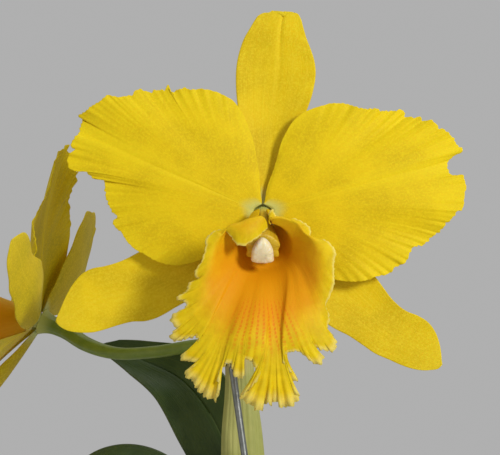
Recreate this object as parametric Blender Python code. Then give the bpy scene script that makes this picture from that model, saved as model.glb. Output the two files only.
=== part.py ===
"""A potted cattleya orchid in flower, as one object for each piece that a grower could take apart.

Units are metres, +Z up, and the origin is the middle of the pot's flat base. Each flower is laid out in
its own frame, in millimetres: x to the right as it faces the viewer, y back into the flower, z up, and
the origin on its column's axis, where its sepals, petals and lip all meet.
"""

import math

import bmesh
import bpy
import numpy as np
from mathutils import Euler, Matrix, Vector

MM = 0.001
GAP = 0.0004  # left between any two pieces that would touch

# Pot
POT_HEIGHT = 0.122
POT_TOP_RADIUS = 0.075
POT_BASE_RADIUS = 0.052
POT_WALL = 0.0065
POT_FLOOR = 0.008
RIM_HEIGHT = 0.024
RIM_STEP = 0.0045
DRAIN_RADIUS = 0.006
DRAIN_CIRCLE = 0.029
DRAIN_COUNT = 4

# Planting
BARK_DEPTH = 0.101  # from the pot's floor to the mean top of the bark
BARK_BUMP = 0.0016
RHIZOME_RADIUS = 0.0048
RHIZOME_INSET = 0.0012  # from the pot's wall to the rhizome's back end
ROOT_RADIUS = 0.0022
BULB_SIZE = 1.0  # stoutness of every pseudobulb
STAKE_RADIUS = 0.00135
STAKE_BURIED = 0.070
STAKE_TOP = (-0.006, 0.004, 0.357)
STAKE_LEAN = (-0.1416, 0.050)  # metres along x and y for each metre that it rises
TIE_RADIUS = 0.0007
TIE_BELOW_TOP = 0.007  # under the top of the flowering pseudobulb
TIE_SLACK = 0.001
BULB_NECK_RADIUS = 0.0072  # takes in a pseudobulb's top at the tie's height

# Leaves, stems and flowers
LEAF_THICKNESS = 0.0019
TEPAL_THICKNESS = 0.0009
LIP_THICKNESS = 0.0008
SHEATH_THICKNESS = 0.0007
PEDUNCLE_RADIUS = 0.0023
PEDICEL_RADIUS = 0.0025
OVARY_RADIUS = 0.0031
RECEPTACLE_RADIUS = 0.0038
FLOWER_SIZE = 1.0
SIDE_FLOWER_SIZE = 0.97
FLOWER_HEIGHT = 0.415  # the front flower's centre above the pot's base
FRONT_FLOWER = (0.006, -0.014)  # where that centre stands
SIDE_FLOWER = (-0.0865, 0.056)
SIDE_FLOWER_DROP = 0.0425  # from the front flower's centre down to the side flower's
SIDE_FLOWER_TURN = (-17, -64, -101)  # degrees about x, y and z, taken in the order y, x, z
PEDUNCLE_TOP = (-0.0030, 0.018)
PEDUNCLE_DROP = 0.049  # from the front flower's centre down to the peduncle's top
SHEATH_LENGTH = 0.104
SHEATH_SLANT = 0.004  # by which its mouth rises on its right and falls on its left

BARK_TOP = POT_FLOOR + GAP + BARK_DEPTH
RHIZOME_Z = BARK_TOP + BARK_BUMP + GAP + RHIZOME_RADIUS
BULB_FOOT_Z = RHIZOME_Z + RHIZOME_RADIUS + GAP


# ---------------------------------------------------------------- curves

def through(knots, values, at):
    """A smooth curve through values at knots: cubic pieces whose slope at a knot follows its neighbours."""
    knots = np.asarray(knots, float)
    values = np.asarray(values, float).reshape(len(knots), -1)
    at = np.clip(np.asarray(at, float), knots[0], knots[-1])
    slopes = np.gradient(values, knots, axis=0)
    piece = np.clip(np.searchsorted(knots, at, side="right") - 1, 0, len(knots) - 2)
    step = (knots[piece + 1] - knots[piece])[:, None]
    t = (at - knots[piece])[:, None] / step
    return ((1 + 2 * t) * (1 - t) ** 2 * values[piece] + t * (1 - t) ** 2 * step * slopes[piece]
            + t * t * (3 - 2 * t) * values[piece + 1] + t * t * (t - 1) * step * slopes[piece + 1])


def along(points, at):
    """A smooth curve through points, at shares 0 to 1 of the straight distances between them."""
    points = np.asarray(points, float)
    steps = np.linalg.norm(np.diff(points, axis=0), axis=1)
    knots = np.concatenate([[0], np.cumsum(steps)]) / steps.sum()
    return through(knots, points, at)


def unit(vectors):
    return vectors / np.linalg.norm(vectors, axis=-1, keepdims=True)


# ---------------------------------------------------------------- meshes

def finish(name, colour, roughness, metallic=0.0):
    made = bpy.data.materials.new(name)
    made.use_nodes = True
    shader = made.node_tree.nodes["Principled BSDF"]
    shader.inputs["Base Color"].default_value = (*colour, 1.0)
    shader.inputs["Roughness"].default_value = roughness
    shader.inputs["Metallic"].default_value = metallic
    return made


def add(name, mesh, coat, parent=None):
    """A scene object with that mesh, shaded smooth apart from its sharp edges."""
    mesh.shade_smooth()
    mesh.set_sharp_from_angle(angle=math.radians(50))
    made = bpy.data.objects.new(name, mesh)
    made.data.materials.append(coat)
    bpy.context.scene.collection.objects.link(made)
    made.parent = parent
    return made


def grid_faces(rows, columns, closed=False):
    """Quads of points stored row by row. A closed grid joins its last column to its first."""
    last = columns if closed else columns - 1
    return [(r * columns + c, r * columns + (c + 1) % columns,
             (r + 1) * columns + (c + 1) % columns, (r + 1) * columns + c)
            for r in range(rows - 1) for c in range(last)]


def sheet(name, points, thickness, coat, parent=None, closed=False):
    """A thin piece: a grid of points, given half its thickness on each side."""
    rows, columns, _ = points.shape
    mesh = bpy.data.meshes.new(name)
    mesh.from_pydata(points.reshape(-1, 3).tolist(), [], grid_faces(rows, columns, closed))
    made = add(name, mesh, coat, parent)
    solid = made.modifiers.new("Thickness", "SOLIDIFY")
    solid.thickness = thickness
    solid.offset = 0
    return made


def skin(name, rings, coat, parent=None):
    """A solid piece: closed rings of points joined in turn, with a flat cap over each end."""
    rings = np.asarray(rings)
    count, columns, _ = rings.shape
    faces = grid_faces(count, columns, closed=True)
    faces += [tuple(reversed(range(columns))), tuple(range((count - 1) * columns, count * columns))]
    mesh = bpy.data.meshes.new(name)
    mesh.from_pydata(rings.reshape(-1, 3).tolist(), [], faces)
    shape = bmesh.new()
    shape.from_mesh(mesh)
    bmesh.ops.recalc_face_normals(shape, faces=shape.faces)
    shape.to_mesh(mesh)
    shape.free()
    return add(name, mesh, coat, parent)


def turned(name, profile, coat, sides, parent=None):
    """A solid of revolution about Z. The profile's first and last points lie on the axis."""
    turn = np.linspace(0, 2 * math.pi, sides, endpoint=False)
    radius, height = np.asarray(profile[1:-1], float).T
    rings = np.stack([radius[:, None] * np.cos(turn), radius[:, None] * np.sin(turn),
                      np.repeat(height[:, None], sides, axis=1)], axis=-1)
    points = rings.reshape(-1, 3).tolist() + [(0, 0, profile[0][1]), (0, 0, profile[-1][1])]
    first, last = len(points) - 2, len(points) - 1
    end = (len(radius) - 1) * sides
    faces = grid_faces(len(radius), sides, closed=True)
    faces += [(first, (c + 1) % sides, c) for c in range(sides)]
    faces += [(last, end + c, end + (c + 1) % sides) for c in range(sides)]
    mesh = bpy.data.meshes.new(name)
    mesh.from_pydata(points, [], faces)
    return add(name, mesh, coat, parent)


def rod_between(name, start, end, radius, sides=16):
    """A plain round rod, kept as a wire-frame tool for cutting holes."""
    start, end = Vector(start), Vector(end)
    mesh = bpy.data.meshes.new(name)
    shape = bmesh.new()
    bmesh.ops.create_cone(shape, cap_ends=True, segments=sides, radius1=radius, radius2=radius,
                          depth=(end - start).length)
    shape.to_mesh(mesh)
    shape.free()
    made = bpy.data.objects.new(name, mesh)
    made.location = (start + end) / 2
    made.rotation_euler = (end - start).to_track_quat("Z", "Y").to_euler()
    made.hide_render = True
    made.display_type = "WIRE"
    bpy.context.scene.collection.objects.link(made)
    return made


def cut(target, tool):
    hole = target.modifiers.new("Hole", "BOOLEAN")
    hole.operation = "DIFFERENCE"
    hole.solver = "EXACT"
    hole.object = tool


# ---------------------------------------------------------------- plant shapes

def stem_rings(path, widths, depths, side=(1, 0, 0), sides=10):
    """Oval rings square to a path: widths are half sizes along side, depths half sizes across it."""
    forward = unit(np.gradient(path, axis=0))
    side = np.broadcast_to(np.asarray(side, float), path.shape)
    across = unit(side - (side * forward).sum(1, keepdims=True) * forward)
    over = np.cross(forward, across)
    turn = np.linspace(0, 2 * math.pi, sides, endpoint=False)[:, None]
    widths = np.broadcast_to(np.ravel(widths), len(path))[:, None, None]
    depths = np.broadcast_to(np.ravel(depths), len(path))[:, None, None]
    return (path[:, None] + widths * np.cos(turn) * across[:, None]
            + depths * np.sin(turn) * over[:, None])


def strap(spine, half_widths, face, rows, columns, fold, blunt=0.0, notch=0.0):
    """A strap-shaped leaf or sepal, as rows of points across a spine. Its half widths are at even shares
    of its length. Its ribs lie square to the way that its foot and then its blade face, fold lifts its
    edges off the midrib by that share of the half width, blunt draws back the tip's corners and notch its
    middle."""
    share = np.linspace(0, 1, rows)[:, None] * np.ones(columns)
    across = np.linspace(-1, 1, columns)[None, :] * np.ones((rows, 1))
    drawn_back = blunt * across ** 2 + notch * np.exp(-(across / 0.2) ** 2)
    share = share - drawn_back * share ** 6
    shape = (rows, columns, 3)
    middle = along(spine, share.ravel()).reshape(shape)
    forward = unit((along(spine, share.ravel() + 0.01) - along(spine, share.ravel() - 0.01)).reshape(shape))
    looks = through([0, 0.4, 1], [face[0], face[1], face[1]], share.ravel()).reshape(shape)
    rib = unit(np.cross(forward, looks))
    lift = unit(np.cross(rib, forward))
    stations = np.linspace(0, 1, len(half_widths))
    half = through(stations, half_widths, share.ravel()).reshape(rows, columns, 1)
    across = across[..., None]
    fold_at = through([0, 1], [fold[0], fold[1]], share.ravel()).reshape(rows, columns, 1)
    return middle + rib * across * half + lift * fold_at * half * np.abs(across) ** 1.5


def fan(claw, margin, bulge, rows, columns):
    """A broad petal, as rows of points between its claw and its margin. Its veins leave the claw close to
    the midrib and curve out to the margin, and bulge moves the middle of the blade along y."""
    share = np.linspace(0, 1, columns)
    start = along(claw, share)
    end = along(margin, share)
    chord = end - start
    length = np.linalg.norm(chord, axis=1, keepdims=True)
    midrib = unit(chord[columns // 2])
    lean = (1.5 * share * (1 - share))[:, None]
    bend = start + 0.5 * length * unit(lean * midrib + (1 - lean) * chord / length)
    t = np.linspace(0, 1, rows)[:, None, None]
    blade = (1 - t) ** 2 * start + 2 * t * (1 - t) * bend + t ** 2 * end
    blade[..., 1] += bulge * np.sin(math.pi * t[..., 0]) * np.sin(math.pi * share)
    return blade


# ---------------------------------------------------------------- pot and planting

def inner_radius(height):
    """The pot's inner radius at a height above its base."""
    share = height / POT_HEIGHT
    return POT_BASE_RADIUS + (POT_TOP_RADIUS - RIM_STEP - POT_BASE_RADIUS) * share - POT_WALL


def make_pot():
    """A tapered clay pot: a thick plain rim that steps out, a flat floor and a ring of drain holes."""
    ease = 0.0015
    rim_foot = POT_HEIGHT - RIM_HEIGHT
    neck = inner_radius(rim_foot) + POT_WALL
    profile = [(0, 0), (POT_BASE_RADIUS - ease, 0), (POT_BASE_RADIUS, ease), (neck, rim_foot),
               (neck + RIM_STEP - ease, rim_foot), (neck + RIM_STEP, rim_foot + ease),
               (POT_TOP_RADIUS, POT_HEIGHT - 2 * ease), (POT_TOP_RADIUS - ease, POT_HEIGHT),
               (inner_radius(POT_HEIGHT) + ease, POT_HEIGHT),
               (inner_radius(POT_HEIGHT), POT_HEIGHT - ease),
               (inner_radius(POT_FLOOR), POT_FLOOR), (0, POT_FLOOR)]
    pot = turned("pot", profile, finish("terracotta", (0.47, 0.18, 0.085), 0.85), 48)
    for index in range(DRAIN_COUNT):
        turn = 2 * math.pi * (index + 0.5) / DRAIN_COUNT
        x, y = DRAIN_CIRCLE * math.cos(turn), DRAIN_CIRCLE * math.sin(turn)
        cut(pot, rod_between(f"drain_tool_{index}", (x, y, -POT_FLOOR), (x, y, 2 * POT_FLOOR), DRAIN_RADIUS))


def make_bark():
    """The planting mix: one body that fills the pot, with a lumpy top and a hole where the stake goes."""
    coat = finish("bark", (0.12, 0.058, 0.028), 0.9)
    floor = POT_FLOOR + GAP
    rings, sides = 9, 36
    heart = 0.006  # radius of the flat middle
    radius = np.linspace(inner_radius(BARK_TOP) - GAP, heart, rings)[:, None]
    turn = np.linspace(0, 2 * math.pi, sides, endpoint=False)[None, :]
    x, y = radius * np.cos(turn), radius * np.sin(turn)
    lump = np.sin(230 * x + 1.0) * np.cos(260 * y) * 0.6 + np.sin(410 * y + 300 * x) * 0.4
    top = np.stack([x, y, BARK_TOP + BARK_BUMP * lump], axis=-1)
    foot = top[:1].copy()
    foot[..., :2] *= (inner_radius(floor) - GAP) / radius[0]
    foot[..., 2] = floor
    bark = skin("bark_mix", np.concatenate([foot, top]), coat)
    cut(bark, rod_between("stake_tool", *stake_ends(GAP), STAKE_RADIUS + GAP))


GROWTHS = {  # where each pseudobulb stands on the rhizome, and the path of its top from there, in mm
    "1": ((4, -2), [(0, 0, 0), (-1, 4, 40), (-4, 10, 88), (-5, 14, 134)], 1.0),
    "2": ((-19, -14), [(0, 0, 0), (-1, 1, 34), (-2, 3, 74), (-3, 5, 110)], 0.95),
    "3": ((26, 12), [(0, 0, 0), (1, 3, 34), (4, 7, 72), (7, 10, 106)], 1.05),
    "4": ((46, 28), [(0, 0, 0), (1, 1, 28), (3, 3, 62), (6, 5, 92)], 0.95),
}
BULB_SHARES = [0, 0.08, 0.25, 0.45, 0.65, 0.82, 0.94, 1]
BULB_HALF_WIDTHS = [4.6, 5.4, 7.2, 10.2, 11.6, 9.6, 6.2, 5.0]
BULB_HALF_DEPTHS = [4.2, 4.8, 5.8, 7.6, 8.4, 7.0, 4.8, 4.0]


SPREAD = {"1": (0, 0), "2": (-20, -12), "3": (20, 12), "4": (40, 24)}  # mm that a top twice as stout leans out


def bulb_path(which):
    """The axis of a pseudobulb, in metres. Stouter bulbs lean further apart."""
    (x, y), path, _ = GROWTHS[which]
    path = np.array(path, float)
    path[:, :2] += (BULB_SIZE - 1) * np.array(SPREAD[which]) * (path[:, 2:] / path[-1, 2]) ** 2
    return path * MM + (x * MM, y * MM, BULB_FOOT_Z)


def bulb_top(which):
    return bulb_path(which)[-1]


def make_rhizome():
    """The creeping stem on top of the bark, which joins the pseudobulbs in the order that they grew."""
    spots = np.array([GROWTHS[which][0] for which in ("2", "1", "3", "4")]) * MM
    front_end = spots[0] + (-0.009, -0.005)
    back_end = unit(spots[-1]) * (inner_radius(RHIZOME_Z) - RHIZOME_INSET)
    reach = np.vstack([front_end, spots, back_end])
    path = along([(x, y, RHIZOME_Z) for x, y in reach], np.linspace(0, 1, 16))
    radius = np.full(16, RHIZOME_RADIUS)
    radius[0], radius[-1] = 0.45 * RHIZOME_RADIUS, 0.6 * RHIZOME_RADIUS
    skin("rhizome", stem_rings(path, radius, radius, side=(0, 0, 1)),
         finish("rhizome_skin", (0.15, 0.13, 0.05), 0.75))


def make_bulbs():
    """Swollen, slightly flattened stems, each on the rhizome with a leaf at its top."""
    shares = np.linspace(0, 1, 15)
    for which, (_, _, stoutness) in GROWTHS.items():
        size = BULB_SIZE * stoutness * MM
        widths = through(BULB_SHARES, BULB_HALF_WIDTHS, shares) * size
        depths = through(BULB_SHARES, BULB_HALF_DEPTHS, shares) * size
        skin(f"pseudobulb_{which}", stem_rings(along(bulb_path(which), shares), widths, depths, sides=14),
             finish(f"bulb_skin_{which}", (0.16, 0.21, 0.055), 0.5))


def make_roots():
    """Thick white roots: two lie over the bark and the pot's rim, and one stays on the bark."""
    coat = finish("root_skin", (0.62, 0.62, 0.52), 0.8)
    bed = BARK_TOP + BARK_BUMP + GAP + ROOT_RADIUS
    over = POT_HEIGHT + GAP + ROOT_RADIUS
    outside = POT_TOP_RADIUS + GAP + ROOT_RADIUS
    beside = RHIZOME_RADIUS + GAP + ROOT_RADIUS
    slack = 0.001  # between a root and the pot where it bends

    def rim_root(x, y, turn, drop):
        """From a start on the bark, up inside the wall, over the rim and down outside it."""
        mouth = inner_radius(POT_HEIGHT)
        reach = Vector((math.cos(turn), math.sin(turn), 0))
        rim = [(mouth - 0.010, bed + 0.004), (mouth - 0.006, over - 0.004), (mouth, over),
               (POT_TOP_RADIUS - 0.002, over + slack), (outside + slack, POT_HEIGHT - 0.004),
               (outside + slack, POT_HEIGHT - 0.5 * RIM_HEIGHT), (outside, POT_HEIGHT - drop)]
        return [(x, y, bed)] + [tuple(reach * radius + Vector((0, 0, z))) for radius, z in rim]

    paths = {"root_1": rim_root(-0.008, -0.0095 - 1.2 * beside, math.radians(-128), 0.052),
             "root_2": rim_root(0.050, 0.0295 - 1.2 * beside, math.radians(-12), 0.040),
             "root_3": [(0.000, -0.003 + 1.3 * beside, bed), (-0.014, 0.022, bed), (-0.030, 0.030, bed),
                        (-0.046, 0.026, bed)]}
    for name, points in paths.items():
        count = 22 if len(points) > 4 else 10
        path = along(points, np.linspace(0, 1, count))
        radius = np.full(count, ROOT_RADIUS)
        radius[-1] = 0.5 * ROOT_RADIUS
        skin(name, stem_rings(path, radius, radius, side=(0, 0, 1), sides=8), coat)


# ---------------------------------------------------------------- stake and tie

def stake_at(height):
    """The stake's axis at a height above the pot's base."""
    return Vector(STAKE_TOP) + Vector((*STAKE_LEAN, 1.0)) * (height - STAKE_TOP[2])


def stake_ends(longer=0.0):
    """The two ends of the stake, with the buried one that much longer."""
    return stake_at(BARK_TOP - STAKE_BURIED - longer), Vector(STAKE_TOP)


def make_stake():
    """A straight galvanised wire pushed into the bark, with its end cut square."""
    path = np.array([stake_at(z) for z in np.linspace(stake_ends()[0].z, STAKE_TOP[2], 3)])
    skin("stake", stem_rings(path, STAKE_RADIUS, STAKE_RADIUS, sides=12),
         finish("galvanised_wire", (0.35, 0.35, 0.31), 0.45, 1.0))


def make_tie():
    """A loop of green plastic-covered wire, drawn round the stake and the top of the flowering bulb."""
    around, sides = 32, 8
    height = bulb_top("1")[2] - TIE_BELOW_TOP
    clear = TIE_RADIUS + TIE_SLACK
    turn = np.linspace(0, 2 * math.pi, around, endpoint=False)
    out = np.stack([np.cos(turn), np.sin(turn)], axis=-1)
    hoops = [(bulb_top("1")[:2], BULB_NECK_RADIUS * BULB_SIZE + clear),
             (np.array(stake_at(height))[:2], STAKE_RADIUS + clear)]
    reach = np.stack([out @ middle + radius for middle, radius in hoops], axis=-1)
    wider = reach.argmax(axis=-1)
    middle = np.array([hoops[which][0] for which in wider])
    radius = np.array([hoops[which][1] for which in wider])[:, None]
    bend = np.linspace(0, 2 * math.pi, sides, endpoint=False)
    flat = middle[:, None] + (radius + TIE_RADIUS * np.cos(bend))[..., None] * out[:, None]
    level = np.broadcast_to(height + TIE_RADIUS * np.sin(bend), (around, sides))
    points = np.concatenate([flat, level[..., None]], axis=-1).reshape(-1, 3)
    mesh = bpy.data.meshes.new("plant_tie")
    faces = [tuple(v % (around * sides) for v in face) for face in grid_faces(around + 1, sides, closed=True)]
    mesh.from_pydata(points.tolist(), [], faces)
    shape = bmesh.new()
    shape.from_mesh(mesh)
    bmesh.ops.recalc_face_normals(shape, faces=shape.faces)
    shape.to_mesh(mesh)
    shape.free()
    add("plant_tie", mesh, finish("tie_cover", (0.03, 0.10, 0.03), 0.5))


# ---------------------------------------------------------------- leaves, sheath and flower stems

LEAVES = {  # spine in mm from the bulb's top, half widths, and the ways that foot and blade face
    "1": ([(-1, 7.0, 1.0), (-3, 15.5, 32), (-6.5, 23, 64), (-13, 31, 78), (-25, 42, 92), (-43, 53, 100),
           (-60, 59, 106)],
          [5.6, 7.5, 11.5, 14.5, 15.5, 13.5, 8.5, 2], [(0, -1, 0.2), (-0.55, -0.6, 0.5)]),
    "2": ([(0, 0, 0.9), (-5, 2, 30), (-10, 7, 58), (-19, 14, 77), (-37, 23, 83), (-58, 32, 64)],
          [4, 8, 13, 16, 17, 15, 10, 2], [(-0.6, -0.4, 0.4), (-0.35, -0.3, 0.9)]),
    "3": ([(0, 0, 0.9), (2, 3, 28), (9, 11, 54), (24, 23, 70), (47, 36, 70), (70, 46, 50)],
          [4, 8, 14, 18, 19, 16, 11, 2], [(0.6, -0.5, 0.5), (0.3, 0.1, 0.95)]),
    "4": ([(0, 0, 0.9), (4, -2, 26), (15, -9, 52), (32, -21, 66), (54, -37, 62), (72, -50, 42)],
          [4, 9, 14, 18, 19, 16, 10, 2], [(0.6, -0.6, 0.5), (0.35, -0.3, 0.9)]),
}


TOP_SLOPE = 0.003  # by which the sloping top of a bulb twice as stout rises under its leaf


def make_leaves():
    """Thick leathery leaves, folded at the base and opening to a shallow trough with a blunt tip."""
    for which, (spine, half_widths, face) in LEAVES.items():
        points = np.array(spine) * MM + bulb_top(which) + (0, 0, TOP_SLOPE * (BULB_SIZE - 1))
        blade = strap(points, np.array(half_widths) * MM, face, 15, 7, fold=(0.45, 0.28), blunt=0.05)
        sheet(f"leaf_{which}", blade, LEAF_THICKNESS, finish(f"leaf_{which}", (0.035, 0.06, 0.012), 0.42))


SHEATH_SHARES = [0, 0.15, 0.35, 0.7, 0.88, 1]
SHEATH_HALF_WIDTHS = [3.5, 4.2, 6.9, 7.0, 5.0, 3.9]
SHEATH_HALF_DEPTHS = [3.5, 3.8, 4.0, 3.9, 3.7, 3.6]


def peduncle_path():
    """Its foot on the flowering bulb, its slightly bowed middle and its top."""
    foot = Vector(bulb_top("1")) + Vector((0.001, 0, GAP))
    top = Vector((*PEDUNCLE_TOP, FLOWER_HEIGHT - PEDUNCLE_DROP))
    return [foot, foot.lerp(top, 0.5) + Vector((0.0006, -0.0006, 0)), top]


def sheath_axis(height):
    """The middle of the sheath, which follows the peduncle, at a height above the pot's base."""
    foot, _, top = peduncle_path()
    return Vector(foot.lerp(top, (height - foot.z) / (top.z - foot.z)))


def make_sheath():
    """A dry flattened sheath that stands on the bulb around the peduncle, open at its slanting top."""
    rows, sides = 12, 16
    shares = np.linspace(0.01, 1, rows)
    foot_z = bulb_top("1")[2] + GAP
    path = np.array([sheath_axis(foot_z + SHEATH_LENGTH * share) for share in shares])
    widths = through(SHEATH_SHARES, np.array(SHEATH_HALF_WIDTHS) * MM, shares)
    depths = through(SHEATH_SHARES, np.array(SHEATH_HALF_DEPTHS) * MM, shares)
    rings = stem_rings(path, widths, depths, sides=sides)
    slant = SHEATH_SLANT * np.cos(np.linspace(0, 2 * math.pi, sides, endpoint=False))
    rings[..., 2] += slant * shares[:, None] ** 4
    sheet("flower_sheath", rings, SHEATH_THICKNESS, finish("sheath_skin", (0.32, 0.33, 0.075), 0.6),
          closed=True)


def make_stem(name, points, radii, coat, count):
    """A round green stem through points, with its radii at even shares of its length."""
    shares = np.linspace(0, 1, count)
    radius = through(np.linspace(0, 1, len(radii)), radii, shares)
    skin(name, stem_rings(along(points, shares), radius, radius, side=(0.2, 0.3, 0.93)), coat)


RECEPTACLE_SEAT = 4.2  # mm behind the flower's centre
FRONT_OVARY = [(24, -7), (11, -0.6), (0, 0)]  # mm back from the receptacle and up, in the flower's frame
SIDE_OVARY = [(20, -6), (9, -1.0), (0, 0)]
SIDE_PEDICEL = [(-20.9, 24, -51.8), (-37, 30, -54.6), (-53.3, 38, -55.4)]  # mm, z from the front flower's


def ovary_points(flower, profile):
    """The last points of a pedicel's path, behind the flower whose frame is given."""
    return [flower @ Vector((0, (RECEPTACLE_SEAT + back) * MM, up * MM)) for back, up in profile]


def make_flower_stems(front, side):
    """The peduncle, and a pedicel to each flower that swells to its ovary and ends in a flat receptacle."""
    coat = finish("stem_skin", (0.075, 0.105, 0.012), 0.45)
    core = along([tuple(p) for p in peduncle_path()], np.linspace(0, 1, 9))
    skin("peduncle", stem_rings(core, PEDUNCLE_RADIUS, PEDUNCLE_RADIUS), coat)

    top = peduncle_path()[-1]
    start = top + Vector((0.0004, -0.0002, 2 * GAP))
    make_stem("pedicel_front",
              [start, start + Vector((0.0025, 0.005, 0.018)), *ovary_points(front, FRONT_OVARY)],
              [PEDICEL_RADIUS, PEDICEL_RADIUS, OVARY_RADIUS, OVARY_RADIUS, RECEPTACLE_RADIUS], coat, 14)

    start = top + Vector((-PEDUNCLE_RADIUS - 3 * GAP, 0.001, -0.001))
    between = [Vector((x * MM, y * MM, FLOWER_HEIGHT + z * MM)) for x, y, z in SIDE_PEDICEL]
    make_stem("pedicel_side", [start, *between, *ovary_points(side, SIDE_OVARY)],
              [PEDICEL_RADIUS, PEDICEL_RADIUS, PEDICEL_RADIUS, OVARY_RADIUS, RECEPTACLE_RADIUS], coat, 20)


# ---------------------------------------------------------------- flowers

SEPALS = {  # spine, half widths and the way the face looks, all in mm in the flower's own frame
    "dorsal_sepal": ([(0, 2.2, 4.4), (0.8, 3.6, 14), (2.2, 6, 32), (4.4, 7, 54), (7.2, 5, 76)],
                     [1.9, 3.4, 6.6, 11.2, 14.6, 15.7, 13.2, 3.5]),
    "left_sepal": ([(-3.8, 2.2, -2.2), (-22, 5.5, -16.5), (-42.9, 7, -27), (-58, 6, -32.5),
                    (-71, 5, -38), (-78.3, 4, -41)],
                   [1.9, 5.5, 10.0, 11.6, 11.8, 11.0, 8.0, 1.8]),
    "right_sepal": ([(3.2, 2.2, -3.4), (14, 5, -16), (27.4, 7, -27), (39, 8, -36.5), (50.5, 7, -45.8),
                     (61, 6, -51.7), (67.6, 5, -58.2)],
                    [1.9, 6.0, 10.0, 12.0, 11.8, 10.0, 7.2, 1.8]),
}
CLAW_REACH = 5  # mm from the flower's centre to where its sepals and petals begin to spread
SIDE_FLOWER_CUP = {"right_sepal": 0.02, "left_sepal": 0.5, "left_petal": 0.55, "right_petal": 0.08,
                   "dorsal_sepal": 0.08}
CLAW = [(1.4, 0.3, 4.5), (4.0, 0.3, 2.6), (4.9, 0.3, -1.2)]  # a petal's narrow foot, round the column
PETALS = {
    "left_petal": ([(-x, y, z) for x, y, z in CLAW],
                   [(-9.9, -1, 41.4), (-15.6, 0, 46), (-23.9, -1, 47.9), (-33.4, 0, 46.7),
                    (-42.6, 1, 47.1), (-52.4, -1, 45.2), (-60, 0, 44.5), (-66.5, -2, 40.7),
                    (-69.5, -3, 35.7), (-70.3, -1, 30.8), (-74.1, 1, 24.3), (-73.6, 2, 20.5),
                    (-66.9, 0, 16.7), (-62.7, -1, 13.7), (-60.4, 1, 3.4), (-56.2, 0, -4.9),
                    (-47.5, 1, -11.8), (-39.1, 0, -18.2), (-31, 1, -20), (-24.8, 1, -19.4),
                    (-17.5, 0.5, -14.5), (-10.6, 0.3, -8)], -3.0),
    "right_petal": (CLAW,
                    [(16.7, -1, 38.8), (24.7, 0, 41.4), (31.9, -1, 41.8), (38.8, 1, 39.9),
                     (53.2, -1, 39.5), (60.4, 0, 36.5), (66.5, -1, 33.1), (73.7, 1, 27.7),
                     (76, 1, 23.6), (70.7, -1, 18.6), (76.8, 1, 12.9), (77.1, 1, 8.4),
                     (73.7, 0, 1.5), (66.9, 1, -6.8), (58.5, 0, -11.8), (54.7, 1, -16),
                     (50.2, 0, -20.5), (44.5, 1, -23.6), (31.2, 0, -26.2), (21.5, 1, -23.5),
                     (14, 0.5, -16.5), (8.4, 0.3, -9)], -3.0),
}
LIP_MARGIN = [  # degrees round the lip's tube from its underside, and the margin's point there
    (-165, 1.8, -25.5, -5.6), (-150, -2.9, -28.5, -9.0), (-135, -8.5, -29, -11.8),
    (-120, -16.6, -27, -10.7), (-105, -20.6, -28, -17.7), (-92, -25, -28, -24.3),
    (-80, -29.4, -27, -30.5), (-71, -32.4, -26, -34.2), (-63, -33.5, -25, -39.7),
    (-56, -33.5, -24, -46.7), (-50, -25.0, -28, -45.6), (-44, -30.5, -26, -52.6),
    (-39, -25.2, -29, -55.2), (-34, -29, -27, -60.4), (-29, -24.3, -27, -66.2),
    (-25, -17.7, -28, -69.2), (-22, -16.2, -30, -62.9), (-18, -14.4, -32, -55.8),
    (-14, -11, -32, -58.1), (-11, -8.5, -31, -62.6), (-8, -6.3, -31.5, -58.8), (-5, -5.3, -32, -53.7),
    (-1, -2.6, -31, -60.4), (3, -5.2, -30, -65.5), (7, -8.8, -29, -67.7), (12, -2.9, -28, -71.8),
    (18, 4.4, -28, -70.3), (24, 12.9, -27, -68.4), (28, 9.9, -28, -63.3), (31.5, 12.9, -27, -61.1),
    (35, 8.1, -30, -55.6), (39, 9.9, -31, -50.6), (43, 14.7, -29, -51.5), (47, 20.2, -27, -54.5),
    (50, 20.0, -28, -49.3), (54, 25, -26, -50), (59, 24.7, -27, -45.6), (68, 24.6, -27, -40.8),
    (80, 25.4, -28, -33.5), (92, 26.5, -28, -24.3), (105, 26.5, -27, -16.2), (118, 22.8, -25, -10.7),
    (130, 18, -25, -7.5), (140, 17.6, -24, -3.3), (150, 13.6, -24, -1.6), (158, 9.2, -24, -3.0),
    (165, 5.6, -24.5, -4.6),
]
LIP_FOOT, LIP_THROAT = np.array([0, -4, -2.4]), np.array([0.5, -18.5, -12])
LIP_FOOT_RADIUS, LIP_THROAT_RADIUS = 4.9, 10.8
LIP_FLARE = [  # degrees, how the lip leaves its throat, and how it arrives at its margin
    (-165, (0, -3, 4), (0, -1, 5)), (-140, (-3, -3, 5), (1, -2, 6)), (-110, (-6, -5, 3), (5, -2, 5)),
    (-80, (-7, -7, -1), (8, -3, 5)), (-50, (-6, -8, -4), (8, -5, 8)), (-20, (-3, -8, -6), (3, -5, 14)),
    (0, (0, -8, -6), (1, -5, 15)), (20, (3, -8, -6), (-2, -5, 14)), (50, (6, -8, -4), (-6, -5, 9)),
    (80, (7, -7, -1), (-6, -3, 5)), (110, (6, -5, 2), (-6, -2, 3)), (140, (4, -3, 4), (-5, -1, 2)),
    (165, (1, -2, 3), (-2, -1, 2)),
]
THROAT_SHARE = 0.4  # of the rows, from the lip's foot to its throat


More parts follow.
